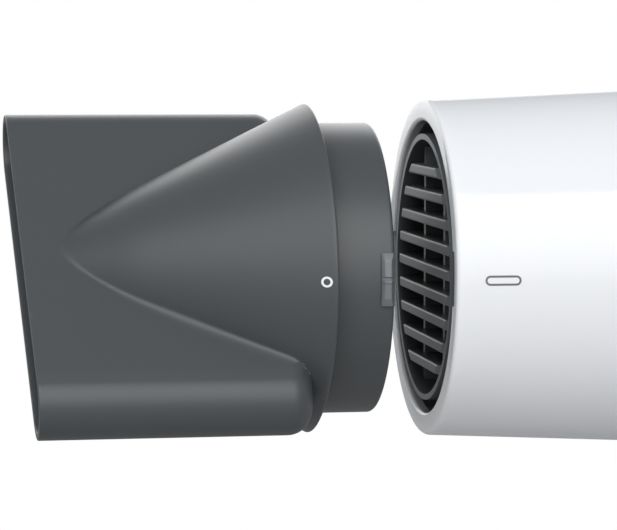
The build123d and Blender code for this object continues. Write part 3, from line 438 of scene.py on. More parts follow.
@dataclass(frozen=True)
class Flecked:
    """A sheet material with flakes or traces, such as mica or a circuit board."""

    name: str
    ground: Colour
    fleck: Colour
    scale: float
    edge: float
    roughness: float
    soft: float = 0.1
    height: float = 0.00002

    def build(self, effects: Effects) -> bpy.types.Material:
        """Make the material.

        Args:
            effects: the shared node groups.

        Returns:
            The material.
        """
        dresser = Dresser(self.name)
        place = dresser.node("ShaderNodeTexCoord")
        cells = dresser.node("ShaderNodeTexVoronoi")
        cells.inputs["Scale"].default_value = self.scale
        dresser.link(place.outputs["Object"], cells.inputs["Vector"])
        cut = dresser.node("ShaderNodeMapRange")
        cut.inputs["From Min"].default_value = self.edge
        cut.inputs["From Max"].default_value = self.edge + self.soft
        dresser.link(cells.outputs["Distance"], cut.inputs["Value"])
        colour = dresser.blend(cut.outputs["Result"], self.ground, self.fleck)
        grain = dresser.effect(
            effects.grain, Scale=1400.0, Roughness=self.roughness, Spread=0.1, Shade=0.15
        )
        dresser.surface(colour, grain)
        dresser.bump(cells.outputs["Distance"], self.height)
        return dresser.material


@dataclass(frozen=True)
class Woven:
    """Fine wire cloth, clear between its wires."""

    name: str
    colour: Colour
    pitch: float = 0.9 * MM
    wire: float = 0.45
    roughness: float = 0.35

    def build(self, effects: Effects) -> bpy.types.Material:
        """Make the material.

        Args:
            effects: the shared node groups.

        Returns:
            The material.
        """
        dresser = Dresser(self.name)
        place = dresser.node("ShaderNodeTexCoord")
        parts = dresser.node("ShaderNodeSeparateXYZ")
        dresser.link(place.outputs["Object"], parts.inputs[0])
        wires = []
        for axis in ("Y", "Z"):
            wave = dresser.node("ShaderNodeMath", operation="PINGPONG")
            wave.inputs[1].default_value = self.pitch / 2
            dresser.link(parts.outputs[axis], wave.inputs[0])
            wire = dresser.node("ShaderNodeMath", operation="LESS_THAN")
            wire.inputs[1].default_value = self.pitch * self.wire / 2
            dresser.link(wave.outputs[0], wire.inputs[0])
            wires.append(wire)
        cloth = dresser.node("ShaderNodeMath", operation="MAXIMUM")
        for number, wire in enumerate(wires):
            dresser.link(wire.outputs[0], cloth.inputs[number])
        grain = dresser.effect(
            effects.grain, Scale=1600.0, Roughness=self.roughness, Spread=0.1, Shade=0.1
        )
        colour = dresser.node("ShaderNodeRGB")
        colour.outputs[0].default_value = (*self.colour, 1.0)
        dresser.surface(colour.outputs[0], grain)
        dresser.link(cloth.outputs[0], dresser.shader.inputs["Alpha"])
        dresser.shader.inputs["Metallic"].default_value = 1.0
        return dresser.material


Finish = MouldedPlastic | Metal | Flecked | Woven

WHITE = MouldedPlastic(
    "polished_white",
    colour=(0.80, 0.81, 0.83),
    worn=(0.86, 0.86, 0.87),
    roughness=0.11,
    spread=0.03,
    grain=500.0,
    height=0.0000015,
    shade=0.012,
    wear=0.25,
    dust=0.02,
    coat=0.15,
    specular=0.4,
)
GRAPHITE = MouldedPlastic(
    "satin_graphite",
    colour=(0.060, 0.066, 0.070),
    worn=(0.13, 0.135, 0.14),
    roughness=0.40,
    spread=0.06,
    shade=0.10,
    wear=0.35,
    dust=0.02,
    specular=0.5,
)
GRILLE_GRAPHITE = MouldedPlastic(
    "grille_graphite",
    colour=(0.098, 0.107, 0.112),
    worn=(0.15, 0.16, 0.165),
    roughness=0.36,
    shade=0.06,
    wear=0.35,
    dust=0.04,
)
# Same graphite plastic as the collar, painted lighter: the light grey is a painted highlight for the
# light that the latch's ramped faces catch.
LATCH_GRAPHITE_PAINTED_HIGHLIGHT = MouldedPlastic(
    "latch_graphite_painted_highlight",
    colour=(0.16, 0.168, 0.175),
    worn=(0.25, 0.26, 0.27),
    roughness=0.28,
    grain=1500.0,
)
MARK_GREY = MouldedPlastic(
    "printed_grey", colour=(0.10, 0.105, 0.115), worn=(0.3, 0.3, 0.31), roughness=0.4, dust=0.0
)
MARK_WHITE = MouldedPlastic(
    "printed_white", colour=(0.85, 0.86, 0.87), worn=(0.7, 0.7, 0.7), roughness=0.45, dust=0.0
)
NYLON = MouldedPlastic(
    "heatproof_nylon", colour=(0.62, 0.61, 0.56), worn=(0.75, 0.74, 0.7), roughness=0.5, dust=0.3
)
FAN_BLACK = MouldedPlastic(
    "fan_black", colour=(0.035, 0.036, 0.038), worn=(0.12, 0.12, 0.12), roughness=0.42, dust=0.3
)
SWITCH_BLACK = MouldedPlastic(
    "switch_black", colour=(0.02, 0.02, 0.021), worn=(0.1, 0.1, 0.1), roughness=0.5, dust=0.2
)
RUBBER = MouldedPlastic(
    "soft_rubber",
    colour=(0.022, 0.022, 0.023),
    worn=(0.06, 0.06, 0.06),
    roughness=0.68,
    grain=1800.0,
    height=0.00002,
    specular=0.3,
)
STEEL = Metal("drawn_steel", colour=(0.56, 0.57, 0.59))
WIRE_CLOTH = Woven("steel_wire_cloth", (0.5, 0.5, 0.52))
HEATER_WIRE = Metal("heater_ribbon", colour=(0.42, 0.36, 0.33), roughness=0.42, height=0.00002)
MICA = Flecked("mica_sheet", (0.50, 0.40, 0.24), (0.66, 0.58, 0.42), 420.0, 0.35, 0.42)
BOARD = Flecked("circuit_board", (0.02, 0.16, 0.06), (0.05, 0.26, 0.10), 260.0, 0.42, 0.35)


# ---------------- mesh tools
@dataclass(frozen=True)
class Corner:
    """A corner of a turned outline: place along the barrel, radius, and its rounding."""

    along: float
    radius: float
    rounding: float = 0.0


def rounded_outline(corners: list[Corner], steps: int = 6) -> Outline:
    """Round the corners of a closed outline.

    Args:
        corners: the outline's corners in order, in metres.
        steps: spans along each rounding.

    Returns:
        The outline's points as (along, radius).
    """
    points: Outline = []
    for number, corner in enumerate(corners):
        here = Vector((corner.along, corner.radius))
        if corner.rounding <= 0:
            points.append((here.x, here.y))
            continue
        before = corners[number - 1]
        after = corners[(number + 1) % len(corners)]
        back = (Vector((before.along, before.radius)) - here).normalized()
        ahead = (Vector((after.along, after.radius)) - here).normalized()
        half = back.angle(ahead) / 2
        reach = corner.rounding / math.tan(half)
        centre = here + (back + ahead).normalized() * corner.rounding / math.sin(half)
        start = here + back * reach - centre
        end = here + ahead * reach - centre
        sweep = start.angle(end)
        for step in range(steps + 1):
            share = step / steps
            low = math.sin((1 - share) * sweep) / math.sin(sweep)
            high = math.sin(share * sweep) / math.sin(sweep)
            spot = centre + start * low + end * high
            points.append((spot.x, spot.y))
    return points


def refined(points: Outline, longest: float) -> Outline:
    """Split the long runs of a closed outline.

    Args:
        points: the outline.
        longest: the longest run allowed, in metres.

    Returns:
        The outline with more points.
    """
    out: Outline = []
    for number, start in enumerate(points):
        end = points[(number + 1) % len(points)]
        spans = max(1, math.ceil(math.dist(start, end) / longest))
        for step in range(spans):
            share = step / spans
            out.append(tuple(a + (b - a) * share for a, b in zip(start, end)))
    return out


def ring_mesh(name: str, rings: np.ndarray, sharp: float = 35.0) -> Piece:
    """Join closed rings of points into a closed skin.

    Args:
        name: the piece's name.
        rings: points of shape (rings, points, 3), where the last ring joins the first.
        sharp: faces that meet at more than this angle, in degrees, keep a sharp edge.

    Returns:
        The new object.
    """
    count, around = rings.shape[:2]
    index = np.arange(count * around).reshape(count, around)
    after = np.roll(index, -1, axis=0)
    faces = np.stack(
        [index, np.roll(index, -1, axis=1), np.roll(after, -1, axis=1), after], axis=-1
    ).reshape(-1, 4)
    points = rings.reshape(-1, 3)
    corner = points[faces]
    volume = np.einsum("ij,ij->i", corner[:, 0], np.cross(corner[:, 1], corner[:, 2])).sum()
    volume += np.einsum("ij,ij->i", corner[:, 0], np.cross(corner[:, 2], corner[:, 3])).sum()
    if volume < 0:
        faces = faces[:, ::-1]
    mesh = bpy.data.meshes.new(name)
    mesh.from_pydata(points.tolist(), [], faces.tolist())
    mesh.validate()
    mesh.shade_smooth()
    mesh.set_sharp_from_angle(angle=math.radians(sharp))
    piece = bpy.data.objects.new(name, mesh)
    bpy.context.scene.collection.objects.link(piece)
    return piece


def spin(outline: Outline, angles: np.ndarray) -> np.ndarray:
    """Turn an outline about the barrel's axis.

    Args:
        outline: points as (along, radius).
        angles: the turns, in radians from +Z towards +Y.

    Returns:
        Rings of points, one ring for each outline point.
    """
    shape = np.array(outline)
    along = np.repeat(shape[:, :1], len(angles), axis=1)
    across = shape[:, 1:] * np.sin(angles)[None, :]
    up = shape[:, 1:] * np.cos(angles)[None, :]
    return np.stack([along, across, up], axis=-1)


def even_angles(count: int) -> np.ndarray:
    """Evenly spaced turns of a full circle."""
    return np.arange(count) * (2 * math.pi / count)


def printed_line(
    name: str,
    edges: list[Outline],
    skin: Callable[[float], float],
    proud: float,
    sunk: float = 0.1 * MM,
) -> Piece:
    """Lay a closed printed line on a turned skin, on the marks' side.

    Args:
        name: the piece's name.
        edges: the line's outer and inner edge, as points (along, height).
        skin: gives the skin's radius at a place along the barrel.
        proud: how far the line's face stands above the skin.
        sunk: how far its back lies below it.

    Returns:
        The line.
    """
    rows = []
    for edge, rise in zip((edges[0], edges[0], edges[1], edges[1]), (-sunk, proud, proud, -sunk)):
        rows.append(
            [
                (along, Side.MARKS.value * math.sqrt((skin(along) + rise) ** 2 - height**2), height)
                for along, height in edge
            ]
        )
    return ring_mesh(name, np.array(rows))


class Dress:
    """Assigns finishes to pieces and CAD nodes, and logs each one."""

    def __init__(self) -> None:
        """Build the shared effects; materials follow as they are needed."""
        self.effects = Effects()
        self.made: dict[str, bpy.types.Material] = {}

    def material(self, finish: Finish) -> bpy.types.Material:
        """The finish's material, built on first use."""
        if finish.name not in self.made:
            self.made[finish.name] = finish.build(self.effects)
        return self.made[finish.name]

    def put(self, piece: Piece, finish: Finish) -> None:
        """Give a piece its finish.

        Args:
            piece: the object.
            finish: its finish.
        """
        material = self.material(finish)
        if not piece.material_slots:
            piece.data.materials.append(material)
        for slot in piece.material_slots:
            slot.material = material
        LOG.info("%s: %s", piece.name, finish.name)

    def nodes(self, finish: Finish, *names: str) -> None:
        """Give CAD nodes a finish, by their names."""
        for name in names:
            self.put(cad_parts[name], finish)

    @staticmethod
    def soften(piece: Piece, width: float, angle: float) -> bpy.types.Modifier:
        """Bevel a piece's sharp edges.

        Args:
            piece: the object.
            width: the bevel's width in metres.
            angle: edges that turn more than this, in degrees, are bevelled.

        Returns:
            The bevel.
        """
        edge = piece.modifiers.new("softened_edges", "BEVEL")
        edge.width = width
        edge.segments = 2
        edge.limit_method = "ANGLE"
        edge.angle_limit = math.radians(angle)
        return edge

    def made_piece(
        self,
        piece: Piece,
        body: str,
        slot: str,
        finish: Finish,
        *nodes: str,
    ) -> None:
        """Attach a piece that stands for CAD nodes to its body, hide those nodes and give the piece its
        finish.

        Args:
            piece: the object.
            body: the body that it rides on.
            slot: not used.
            finish: its finish.
            nodes: the nodes that it replaces.
        """
        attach(piece, body)
        if nodes:
            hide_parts(*nodes)
        self.put(piece, finish)


# ---------------- nozzle
@dataclass
class Nozzle:
    """The concentrator: a flat blade run through a cone, and the collar that it turns on."""

    dress: Dress
    skirt_radius: float = 34.25 * MM
    skirt_sweep: float = 1.05 * MM
    cone_slope: float = 0.491
    cone_length: float = 51.14 * MM
    nose_length: float = 13.1 * MM
    blade_width: float = 81.13 * MM
    blade_thickness: float = 15.0 * MM
    blade_tilt: float = math.radians(45.0)
    blade_rear: float = 4.0 * MM
    blade_round: float = 4.6 * MM
    outlet: float = 59.2 * MM
    rake: float = math.radians(2.53)
    wall: float = 1.5 * MM
    crease: float = 2.6 * MM
    crease_fade: float = 24.0 * MM
    crease_end: float = 4.0 * MM
    nose_soft: float = 0.35 * MM
    lean_start: float = 2.0 * MM
    ring_height: float = 1.2 * MM
    rim_round: float = 0.5 * MM
    rim_inner_round: float = 0.4 * MM
    lip_round: float = 0.3 * MM
    recess: float = 2.5 * MM
    hub_length: float = 2.5 * MM
    shoulder_clearance: float = 0.35 * MM
    neck_clearance: float = 0.05 * MM
    collar_wall: float = 1.86 * MM
    collar_round: float = 0.8 * MM
    neck_wall: float = 1.8 * MM
    latch_height: float = 10.4 * MM
    latch_length: float = 2.75 * MM
    mark_hole: float = 0.6
    latch_bevel: float = 0.12 * MM
    latch_sharp: float = 24.0
    pieces: list[Piece] = field(default_factory=list)

    def __post_init__(self) -> None:
        """Read the places that the frame sets."""
        low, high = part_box("nozzle_shell")
        self.rim_x = high[0]
        self.tip_x = self.rim_x - self.cone_length
        self.nose_x = self.tip_x + self.nose_length
        low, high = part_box("nozzle_collar")
        self.collar_r = high[2]
        self.collar_rear = high[0]
        self.neck_front = low[0]
        self.neck_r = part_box("retaining_ring")[1][2] - self.ring_height

    def cone(self, along: np.ndarray | float, inset: float = 0.0) -> np.ndarray:
        """Radius of the cone and its nose.

        Args:
            along: the place on the barrel's axis.
            inset: how far inside the outer skin.

        Returns:
            The radius.
        """
        along = np.asarray(along, dtype=float)
        flank = self.skirt_radius - self.cone_slope * (self.rim_x - along)
        root = self.skirt_radius - self.cone_slope * (self.rim_x - self.nose_x)
        slope = (root - self.blade_thickness / 2) / self.nose_length
        nose = root - slope * (self.nose_x - along)
        lean = math.cos(math.atan(self.cone_slope))
        gap = flank - nose
        return 0.5 * (flank + nose - np.sqrt(gap**2 + self.nose_soft**2)) - inset / lean

    def blade(self, angles: np.ndarray, inset: float) -> np.ndarray:
        """Distance from the axis to the blade's skin.

        Args:
            angles: directions about the axis.
            inset: how far inside the outer skin.

        Returns:
            The distance in each direction.
        """
        cap = self.blade_thickness / 2 - inset
        reach = (self.blade_width - self.blade_thickness) / 2
        along = np.abs(np.cos(angles - self.blade_tilt))
        across = np.maximum(np.abs(np.sin(angles - self.blade_tilt)), 1e-9)
        flat = cap / across
        under = np.maximum(cap**2 - (reach * across) ** 2, 0.0)
        return np.where(flat * along <= reach, flat, reach * along + np.sqrt(under))

    def section(self, along: float, angles: np.ndarray, inset: float, crease: float) -> np.ndarray:
        """Distance from the axis to the skin of cone and blade together.

        Args:
            along: the place on the barrel's axis.
            angles: directions about the axis.
            inset: how far inside the outer skin.
            crease: width over which the two skins run into each other.

        Returns:
            The distance in each direction.
        """
        end = self.rim_x - self.blade_rear - inset
        crease *= float(np.clip((along - self.tip_x) / self.crease_fade, 0.25, 1.0))
        crease *= float(np.clip((end - along) / self.crease_end, 0.1, 1.0))
        cone = np.full_like(angles, max(float(self.cone(along, inset)), 0.2 * MM))
        if along > end + 1e-7:
            return cone
        past = along - (self.rim_x - self.blade_rear - self.blade_round)
        rounding = 0.0
        if inset == 0 and past > 0:
            rounding = self.blade_round - math.sqrt(max(self.blade_round**2 - past**2, 0.0))
        blade = self.blade(angles, inset + rounding)
        if crease <= 0:
            return np.maximum(cone, blade)
        share = np.clip(0.5 + 0.5 * (cone - blade) / crease, 0, 1)
        return blade + (cone - blade) * share + crease * share * (1 - share)

    def directions(self) -> np.ndarray:
        """Directions about the axis, closer together where the blade's ends turn.

        Returns:
            The sorted angles.
        """
        reach = (self.blade_width - self.blade_thickness) / 2
        turn = np.linspace(-math.pi / 2, math.pi / 2, 61)
        end = np.arctan2(
            self.blade_thickness / 2 * np.sin(turn),
            reach + self.blade_thickness / 2 * np.cos(turn),
        )
        flat = np.linspace(0, reach, 70)
        side = np.arctan2(self.blade_thickness / 2, flat)
        near = np.concatenate([end, side, -side, np.linspace(-math.pi / 2, math.pi / 2, 120)])
        both = np.concatenate([near, near + math.pi]) + self.blade_tilt
        angles = np.sort(np.mod(both, 2 * math.pi))
        keep = np.diff(angles, append=angles[0] + 2 * math.pi) > 0.0035
        return angles[keep]

    def ring(self, along: float, radii: np.ndarray, angles: np.ndarray) -> np.ndarray:
        """Points of one ring, leaned with the outlet near the front.

        Args:
            along: the place on the barrel's axis.
            radii: distance from the axis in each direction.
            angles: the directions.

        Returns:
            The points.
        """
        front = self.rim_x - self.outlet
        start = self.tip_x - self.lean_start
        share = np.clip((start - along) / (start - front), 0, 1)
        height = radii * np.cos(angles - self.blade_tilt)
        return np.stack(
            [
                along - share * math.tan(self.rake) * height,
                radii * np.sin(angles),
                radii * np.cos(angles),
            ],
            axis=-1,
        )

    def swept(self, back: float, step_in: float, angles: np.ndarray) -> np.ndarray:
        """Points of a ring near the rim, which sweeps forward at its top and bottom.

        Args:
            back: how far in front of the rim.
            step_in: how far inside the cone's skin.
            angles: the directions.

        Returns:
            The points.
        """
        height = self.skirt_radius * np.cos(angles)
        share = min(max(1 - back / self.blade_rear, 0.0), 1.0)
        along = self.rim_x - back - share * self.skirt_sweep * (height / self.skirt_radius) ** 2
        radii = self.cone(along) - step_in
        return np.stack([along, radii * np.sin(angles), radii * np.cos(angles)], axis=-1)

    def skirt(self, angles: np.ndarray) -> list[np.ndarray]:
        """Rings of the skirt, from the hub's rear face round the rim to the cone outside.

        Args:
            angles: the directions.

        Returns:
            The rings in order.
        """
        thick = self.wall / math.cos(math.atan(self.cone_slope))
        slope = self.cone_slope
        corners = [
            Corner(self.recess, thick),
            Corner(0.0, thick, self.rim_inner_round),
            Corner(0.0, 0.0, self.rim_round),
            Corner(2 * self.blade_rear, 0.0),
        ]
        straight = [Corner(c.along, c.radius + slope * c.along, c.rounding) for c in corners]
        outline = rounded_outline(straight, 5)
        return [self.swept(back, drop - slope * back, angles) for back, drop in outline]

    def shell(self) -> Piece:
        """Build the shell as one closed skin, outside and inside.

        Returns:
            The shell.
        """
        angles = self.directions()
        front = self.rim_x - self.outlet
        blade_end = self.rim_x - self.blade_rear
        rings = self.skirt(angles)[:-1]

        def circle(along: float, radius: float) -> None:
            """Add a round ring."""
            rings.append(self.ring(along, np.full_like(angles, radius), angles))

        def skin(along: float, inset: float, crease: float) -> None:
            """Add a ring of the joined section."""
            rings.append(self.ring(along, self.section(along, angles, inset, crease), angles))

        def lip(inset: float, turn: float) -> None:
            """Add a ring of the outlet's rounded lip."""
            radii = self.section(front, angles, inset, 0.0)
            rings.append(
                self.ring(front + self.lip_round * (1 - math.sin(turn)), radii, angles)
            )

        for back in np.linspace(1.2 * MM, self.blade_rear - 0.1 * MM, 12):
            rings.append(self.swept(back, 0.0, angles))
        for turn in np.linspace(0, math.pi / 2, 12):
            skin(blade_end - self.blade_round * (1 - math.cos(turn)), 0.0, self.crease)
        rows = np.linspace(blade_end - self.blade_round, front + self.lip_round, 130)
        for along in rows[1:]:
            skin(along, 0.0, self.crease)
        for turn in np.linspace(0, math.pi / 2, 4)[1:]:
            lip(self.lip_round * (1 - math.cos(turn)), turn)
        for turn in np.linspace(math.pi / 2, 0, 4):
            lip(self.wall - self.lip_round * (1 - math.cos(turn)), turn)
        hub_rear = self.rim_x - self.recess
        hub_front = hub_rear - self.hub_length
        for along in np.linspace(front + self.lip_round, blade_end - self.wall, 60)[1:]:
            skin(along, self.wall, self.crease)
        circle(blade_end - self.wall + 0.05 * MM, self.cone(blade_end - self.wall, self.wall))
        circle(hub_front, self.cone(hub_front, self.wall))
        circle(hub_front, self.neck_r + self.neck_clearance)
        circle(hub_rear, self.neck_r + self.neck_clearance)
        return ring_mesh("nozzle_shell_skin", np.array(rings), sharp=32.0)

    def collar(self) -> Piece:
        """Build the collar with its latch windows.

        Returns:
            The collar.
        """
        shoulder = self.rim_x - self.recess + self.shoulder_clearance
        inner = self.collar_r - self.collar_wall
        neck_in = self.neck_r - self.neck_wall
        corners = [
            Corner(shoulder, self.neck_r),
            Corner(shoulder, self.collar_r, 0.3 * MM),
            Corner(self.collar_rear, self.collar_r, self.collar_round),
            Corner(self.collar_rear, inner, 0.4 * MM),
            Corner(self.rim_x, inner),
            Corner(self.rim_x, neck_in),
            Corner(self.neck_front, neck_in),
            Corner(self.neck_front, self.neck_r),
        ]
        outline = refined(rounded_outline(corners), 2 * MM)
        return ring_mesh("nozzle_collar_skin", spin(outline, even_angles(256)))

    def latch(self, side: Side) -> Piece:
        """Build one latch: a bevelled pad with a ridge and a small rib across its middle.

        Args:
            side: which side of the collar.

        Returns:
            The latch.
        """
        half = self.latch_height / 2
        front = self.collar_rear - self.latch_length
        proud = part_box("nozzle_latches")[1][1] - self.collar_r
        base = self.collar_r - 0.5 * MM
        rows = []
        end = [(0.0, 0.0), (0.0, 0.45), (0.55 * MM, 0.62), (1.5 * MM, 0.84)]
        rib = [(-0.75, 0.84), (-0.6, 0.98), (-0.05, 0.98), (0.05, 0.62), (0.45, 0.62), (0.6, 0.84)]
        heights = [(step - half, share) for step, share in end]
        heights += [(height * MM, share) for height, share in rib]
        heights += [(half - step, share) for step, share in reversed(end)]
        for height, share in heights:
            crest = 0.62 if abs(height) < half - 1.2 * MM else 0.78
            shape = [
                (front, 0.0),
                (front, 0.42 * share),
                (front + 0.5 * MM, 0.78 * share),
                (front + crest * self.latch_length, share),
                (self.collar_rear - 0.35 * MM, 0.35 * share),
                (self.collar_rear, 0.0),
            ]
            fall = self.collar_r - math.sqrt(self.collar_r**2 - height**2)
            row = [
                (along, side.value * (self.collar_r - fall + proud * up if up else base), height)
                for along, up in shape
            ]
            rows.append(row)
        name = f"nozzle_latch_{side.name.lower()}"
        piece = ring_mesh(name, np.array(rows), sharp=self.latch_sharp)
        self.dress.soften(piece, self.latch_bevel, self.latch_sharp)
        return piece

    def mark(self) -> Piece:
        """Build the printed ring on the skirt, a hair proud of the cone.

        Returns:
            The mark.
        """
        low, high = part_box("nozzle_mark")
        middle = (low[0] + high[0]) / 2
        outer = (high[0] - low[0]) / 2
        edges = [
            [(middle + radius * math.cos(turn), radius * math.sin(turn)) for turn in even_angles(48)]
            for radius in (outer, outer * self.mark_hole)
        ]
        return printed_line("nozzle_ring_mark", edges, self.cone, 0.03 * MM)

    def build(self) -> None:
        """Make the nozzle's pieces, attach them to their bodies and give them their finishes."""
        # The latches get the collar's graphite with a painted highlight, lighter than the collar.
        latch = ("nozzle_collar", "graphite", LATCH_GRAPHITE_PAINTED_HIGHLIGHT, "nozzle_latches")
        for piece, body, slot, finish, node in (
            (self.shell(), "nozzle_shell", "graphite", GRAPHITE, "nozzle_shell"),
            (self.mark(), "nozzle_shell", "mark_white", MARK_WHITE, "nozzle_mark"),
            (self.collar(), "nozzle_collar", "graphite", GRAPHITE, "nozzle_collar"),
            *((self.latch(side), *latch) for side in Side),
        ):
            self.dress.made_piece(piece, body, slot, finish, node)
            self.pieces.append(piece)
        self.dress.nodes(STEEL, "retaining_ring")


# ---------------- barrel
@dataclass
class Barrel:
    """The tapered white tube, its fitting mark, the outlet's liner and grille, and the heater."""

    dress: Dress
    bore: float = 30.0 * MM
    front_r: float = 34.55 * MM
    taper: float = 0.049
    wall: float = 2.4 * MM
    front_round: float = 1.15 * MM
    lip: float = 2.2 * MM
    seat: float = 32.3 * MM
    notch_r: float = 31.86 * MM
    notch_half: float = 5.55 * MM
    mark_line: float = 0.42 * MM
    spigot: float = 6.0 * MM
    seat_depth: float = 14.3 * MM
    notch_edge: float = 0.004

    def radius(self, along: float) -> float:
        """Outer radius of the barrel at a place on its axis."""
        return self.front_r + self.taper * along

    def tube(self) -> Piece:
        """Build the tube with the latch notches in its lip.

        Returns:
            The tube.
        """
        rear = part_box("rear_ring")[1][0] - self.spigot
        corners = [
            Corner(0, self.bore, 0.7 * MM),
            Corner(0, self.front_r, self.front_round),
            Corner(rear, self.radius(rear), 0.3 * MM),
            Corner(rear, self.radius(rear) - self.wall),
            Corner(self.seat_depth, self.radius(self.seat_depth) - self.wall),
            Corner(self.seat_depth, self.seat),
            Corner(self.lip, self.seat),
            Corner(self.lip, self.bore),
        ]
        outline = refined(rounded_outline(corners, 8), 4 * MM)
        edge = math.asin(self.notch_half / self.notch_r)
        extra = [
            math.pi * quarter + way * (edge + nudge)
            for quarter in (0.5, 1.5)
            for way in (-1, 1)
            for nudge in (-self.notch_edge, 0.0, self.notch_edge)
        ]
        angles = np.sort(np.mod(np.concatenate([even_angles(320), extra]), 2 * math.pi))
        rings = spin(outline, angles)
        inner = np.array(
            [along < self.lip + 1e-6 and radius < self.notch_r for along, radius in outline]
        )
        turned = np.arcsin(np.clip(np.abs(np.cos(angles)), 0, 1))
        share = np.clip((edge - turned) / self.notch_edge + 0.5, 0, 1)
        for number in np.flatnonzero(inner):
            along, radius = outline[number]
            radii = radius + (self.notch_r - radius) * share
            rings[number, :, 1] = radii * np.sin(angles)
            rings[number, :, 2] = radii * np.cos(angles)
        return ring_mesh("barrel_skin", rings, sharp=30.0)

    def mark(self) -> Piece:
        """Build the printed pill outline, a hair proud of the barrel.

        Returns:
            The mark.
        """
        low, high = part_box("alignment_mark")
        middle = (low[0] + high[0]) / 2
        cap = (high[2] - low[2]) / 2
        reach = (high[0] - low[0]) / 2 - cap
        edges = []
        for radius in (cap, cap - self.mark_line):
            edge = []
            for turn in even_angles(64):
                shift = reach if math.cos(turn) >= 0 else -reach
                along = middle + shift + radius * math.cos(turn)
                edge.append((along, radius * math.sin(turn)))
            edges.append(edge)
        return printed_line("barrel_pill_mark", edges, self.radius, 0.02 * MM)

    def build(self) -> None:
        """Make the barrel's pieces, attach and dress them, and dress the barrel's nodes."""
        self.dress.made_piece(self.tube(), "dryer", "gloss_white", WHITE, "barrel_shell")
        self.dress.made_piece(self.mark(), "dryer", "mark_grey", MARK_GREY, "alignment_mark")
        self.dress.nodes(GRILLE_GRAPHITE, "outlet_liner", "outlet_grille")
        self.dress.nodes(MICA, "mica_tube", "mica_board_upright", "mica_board_level")
        self.dress.nodes(HEATER_WIRE, "heater_coil_outer", "heater_coil_inner")
        self.dress.nodes(STEEL, "thermostat", "thermal_fuse")


# ---------------- motor, rear and handle
@dataclass
class Works:
    """Motor, fan and the rear intake."""

    dress: Dress
    blade_bevel: float = 0.2 * MM
    blade_sharp: float = 40.0

    def build(self) -> None:
        """Dress the nodes."""
        self.dress.nodes(NYLON, "fan_duct", "motor_end_cap")
        self.dress.nodes(FAN_BLACK, "fan_impeller")
        edge = self.dress.soften(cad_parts["fan_impeller"], self.blade_bevel, self.blade_sharp)
        edge.harden_normals = True
        self.dress.nodes(STEEL, "motor_can", "motor_shaft")
        self.dress.nodes(BOARD, "rectifier_board")
        self.dress.nodes(GRAPHITE, "rear_ring")
        self.dress.nodes(WHITE, "intake_cover")
        self.dress.nodes(WIRE_CLOTH, "filter_screen")
        self.dress.nodes(GRAPHITE, "filter_ring")


@dataclass
class Handle:
    """The handle with its controls, cord inlet and hanging loop."""

    dress: Dress

    def build(self) -> None:
        """Dress the nodes."""
        self.dress.nodes(
            WHITE, "handle_neck", "handle_half_left", "handle_half_right", "screw_caps"
        )
        self.dress.nodes(GRAPHITE, "control_panel", "end_cap", "hanging_loop")
        self.dress.nodes(WHITE, "speed_slider", "heat_slider", "cool_button")
        self.dress.nodes(SWITCH_BLACK, "speed_switch", "heat_switch", "cool_switch")
        self.dress.nodes(STEEL, "handle_screws", "clamp_screws", "loop_pin", "button_spring")
        self.dress.nodes(RUBBER, "cord_gland")
        self.dress.nodes(NYLON, "cord_clamp")
        self.dress.nodes(BOARD, "circuit_board")


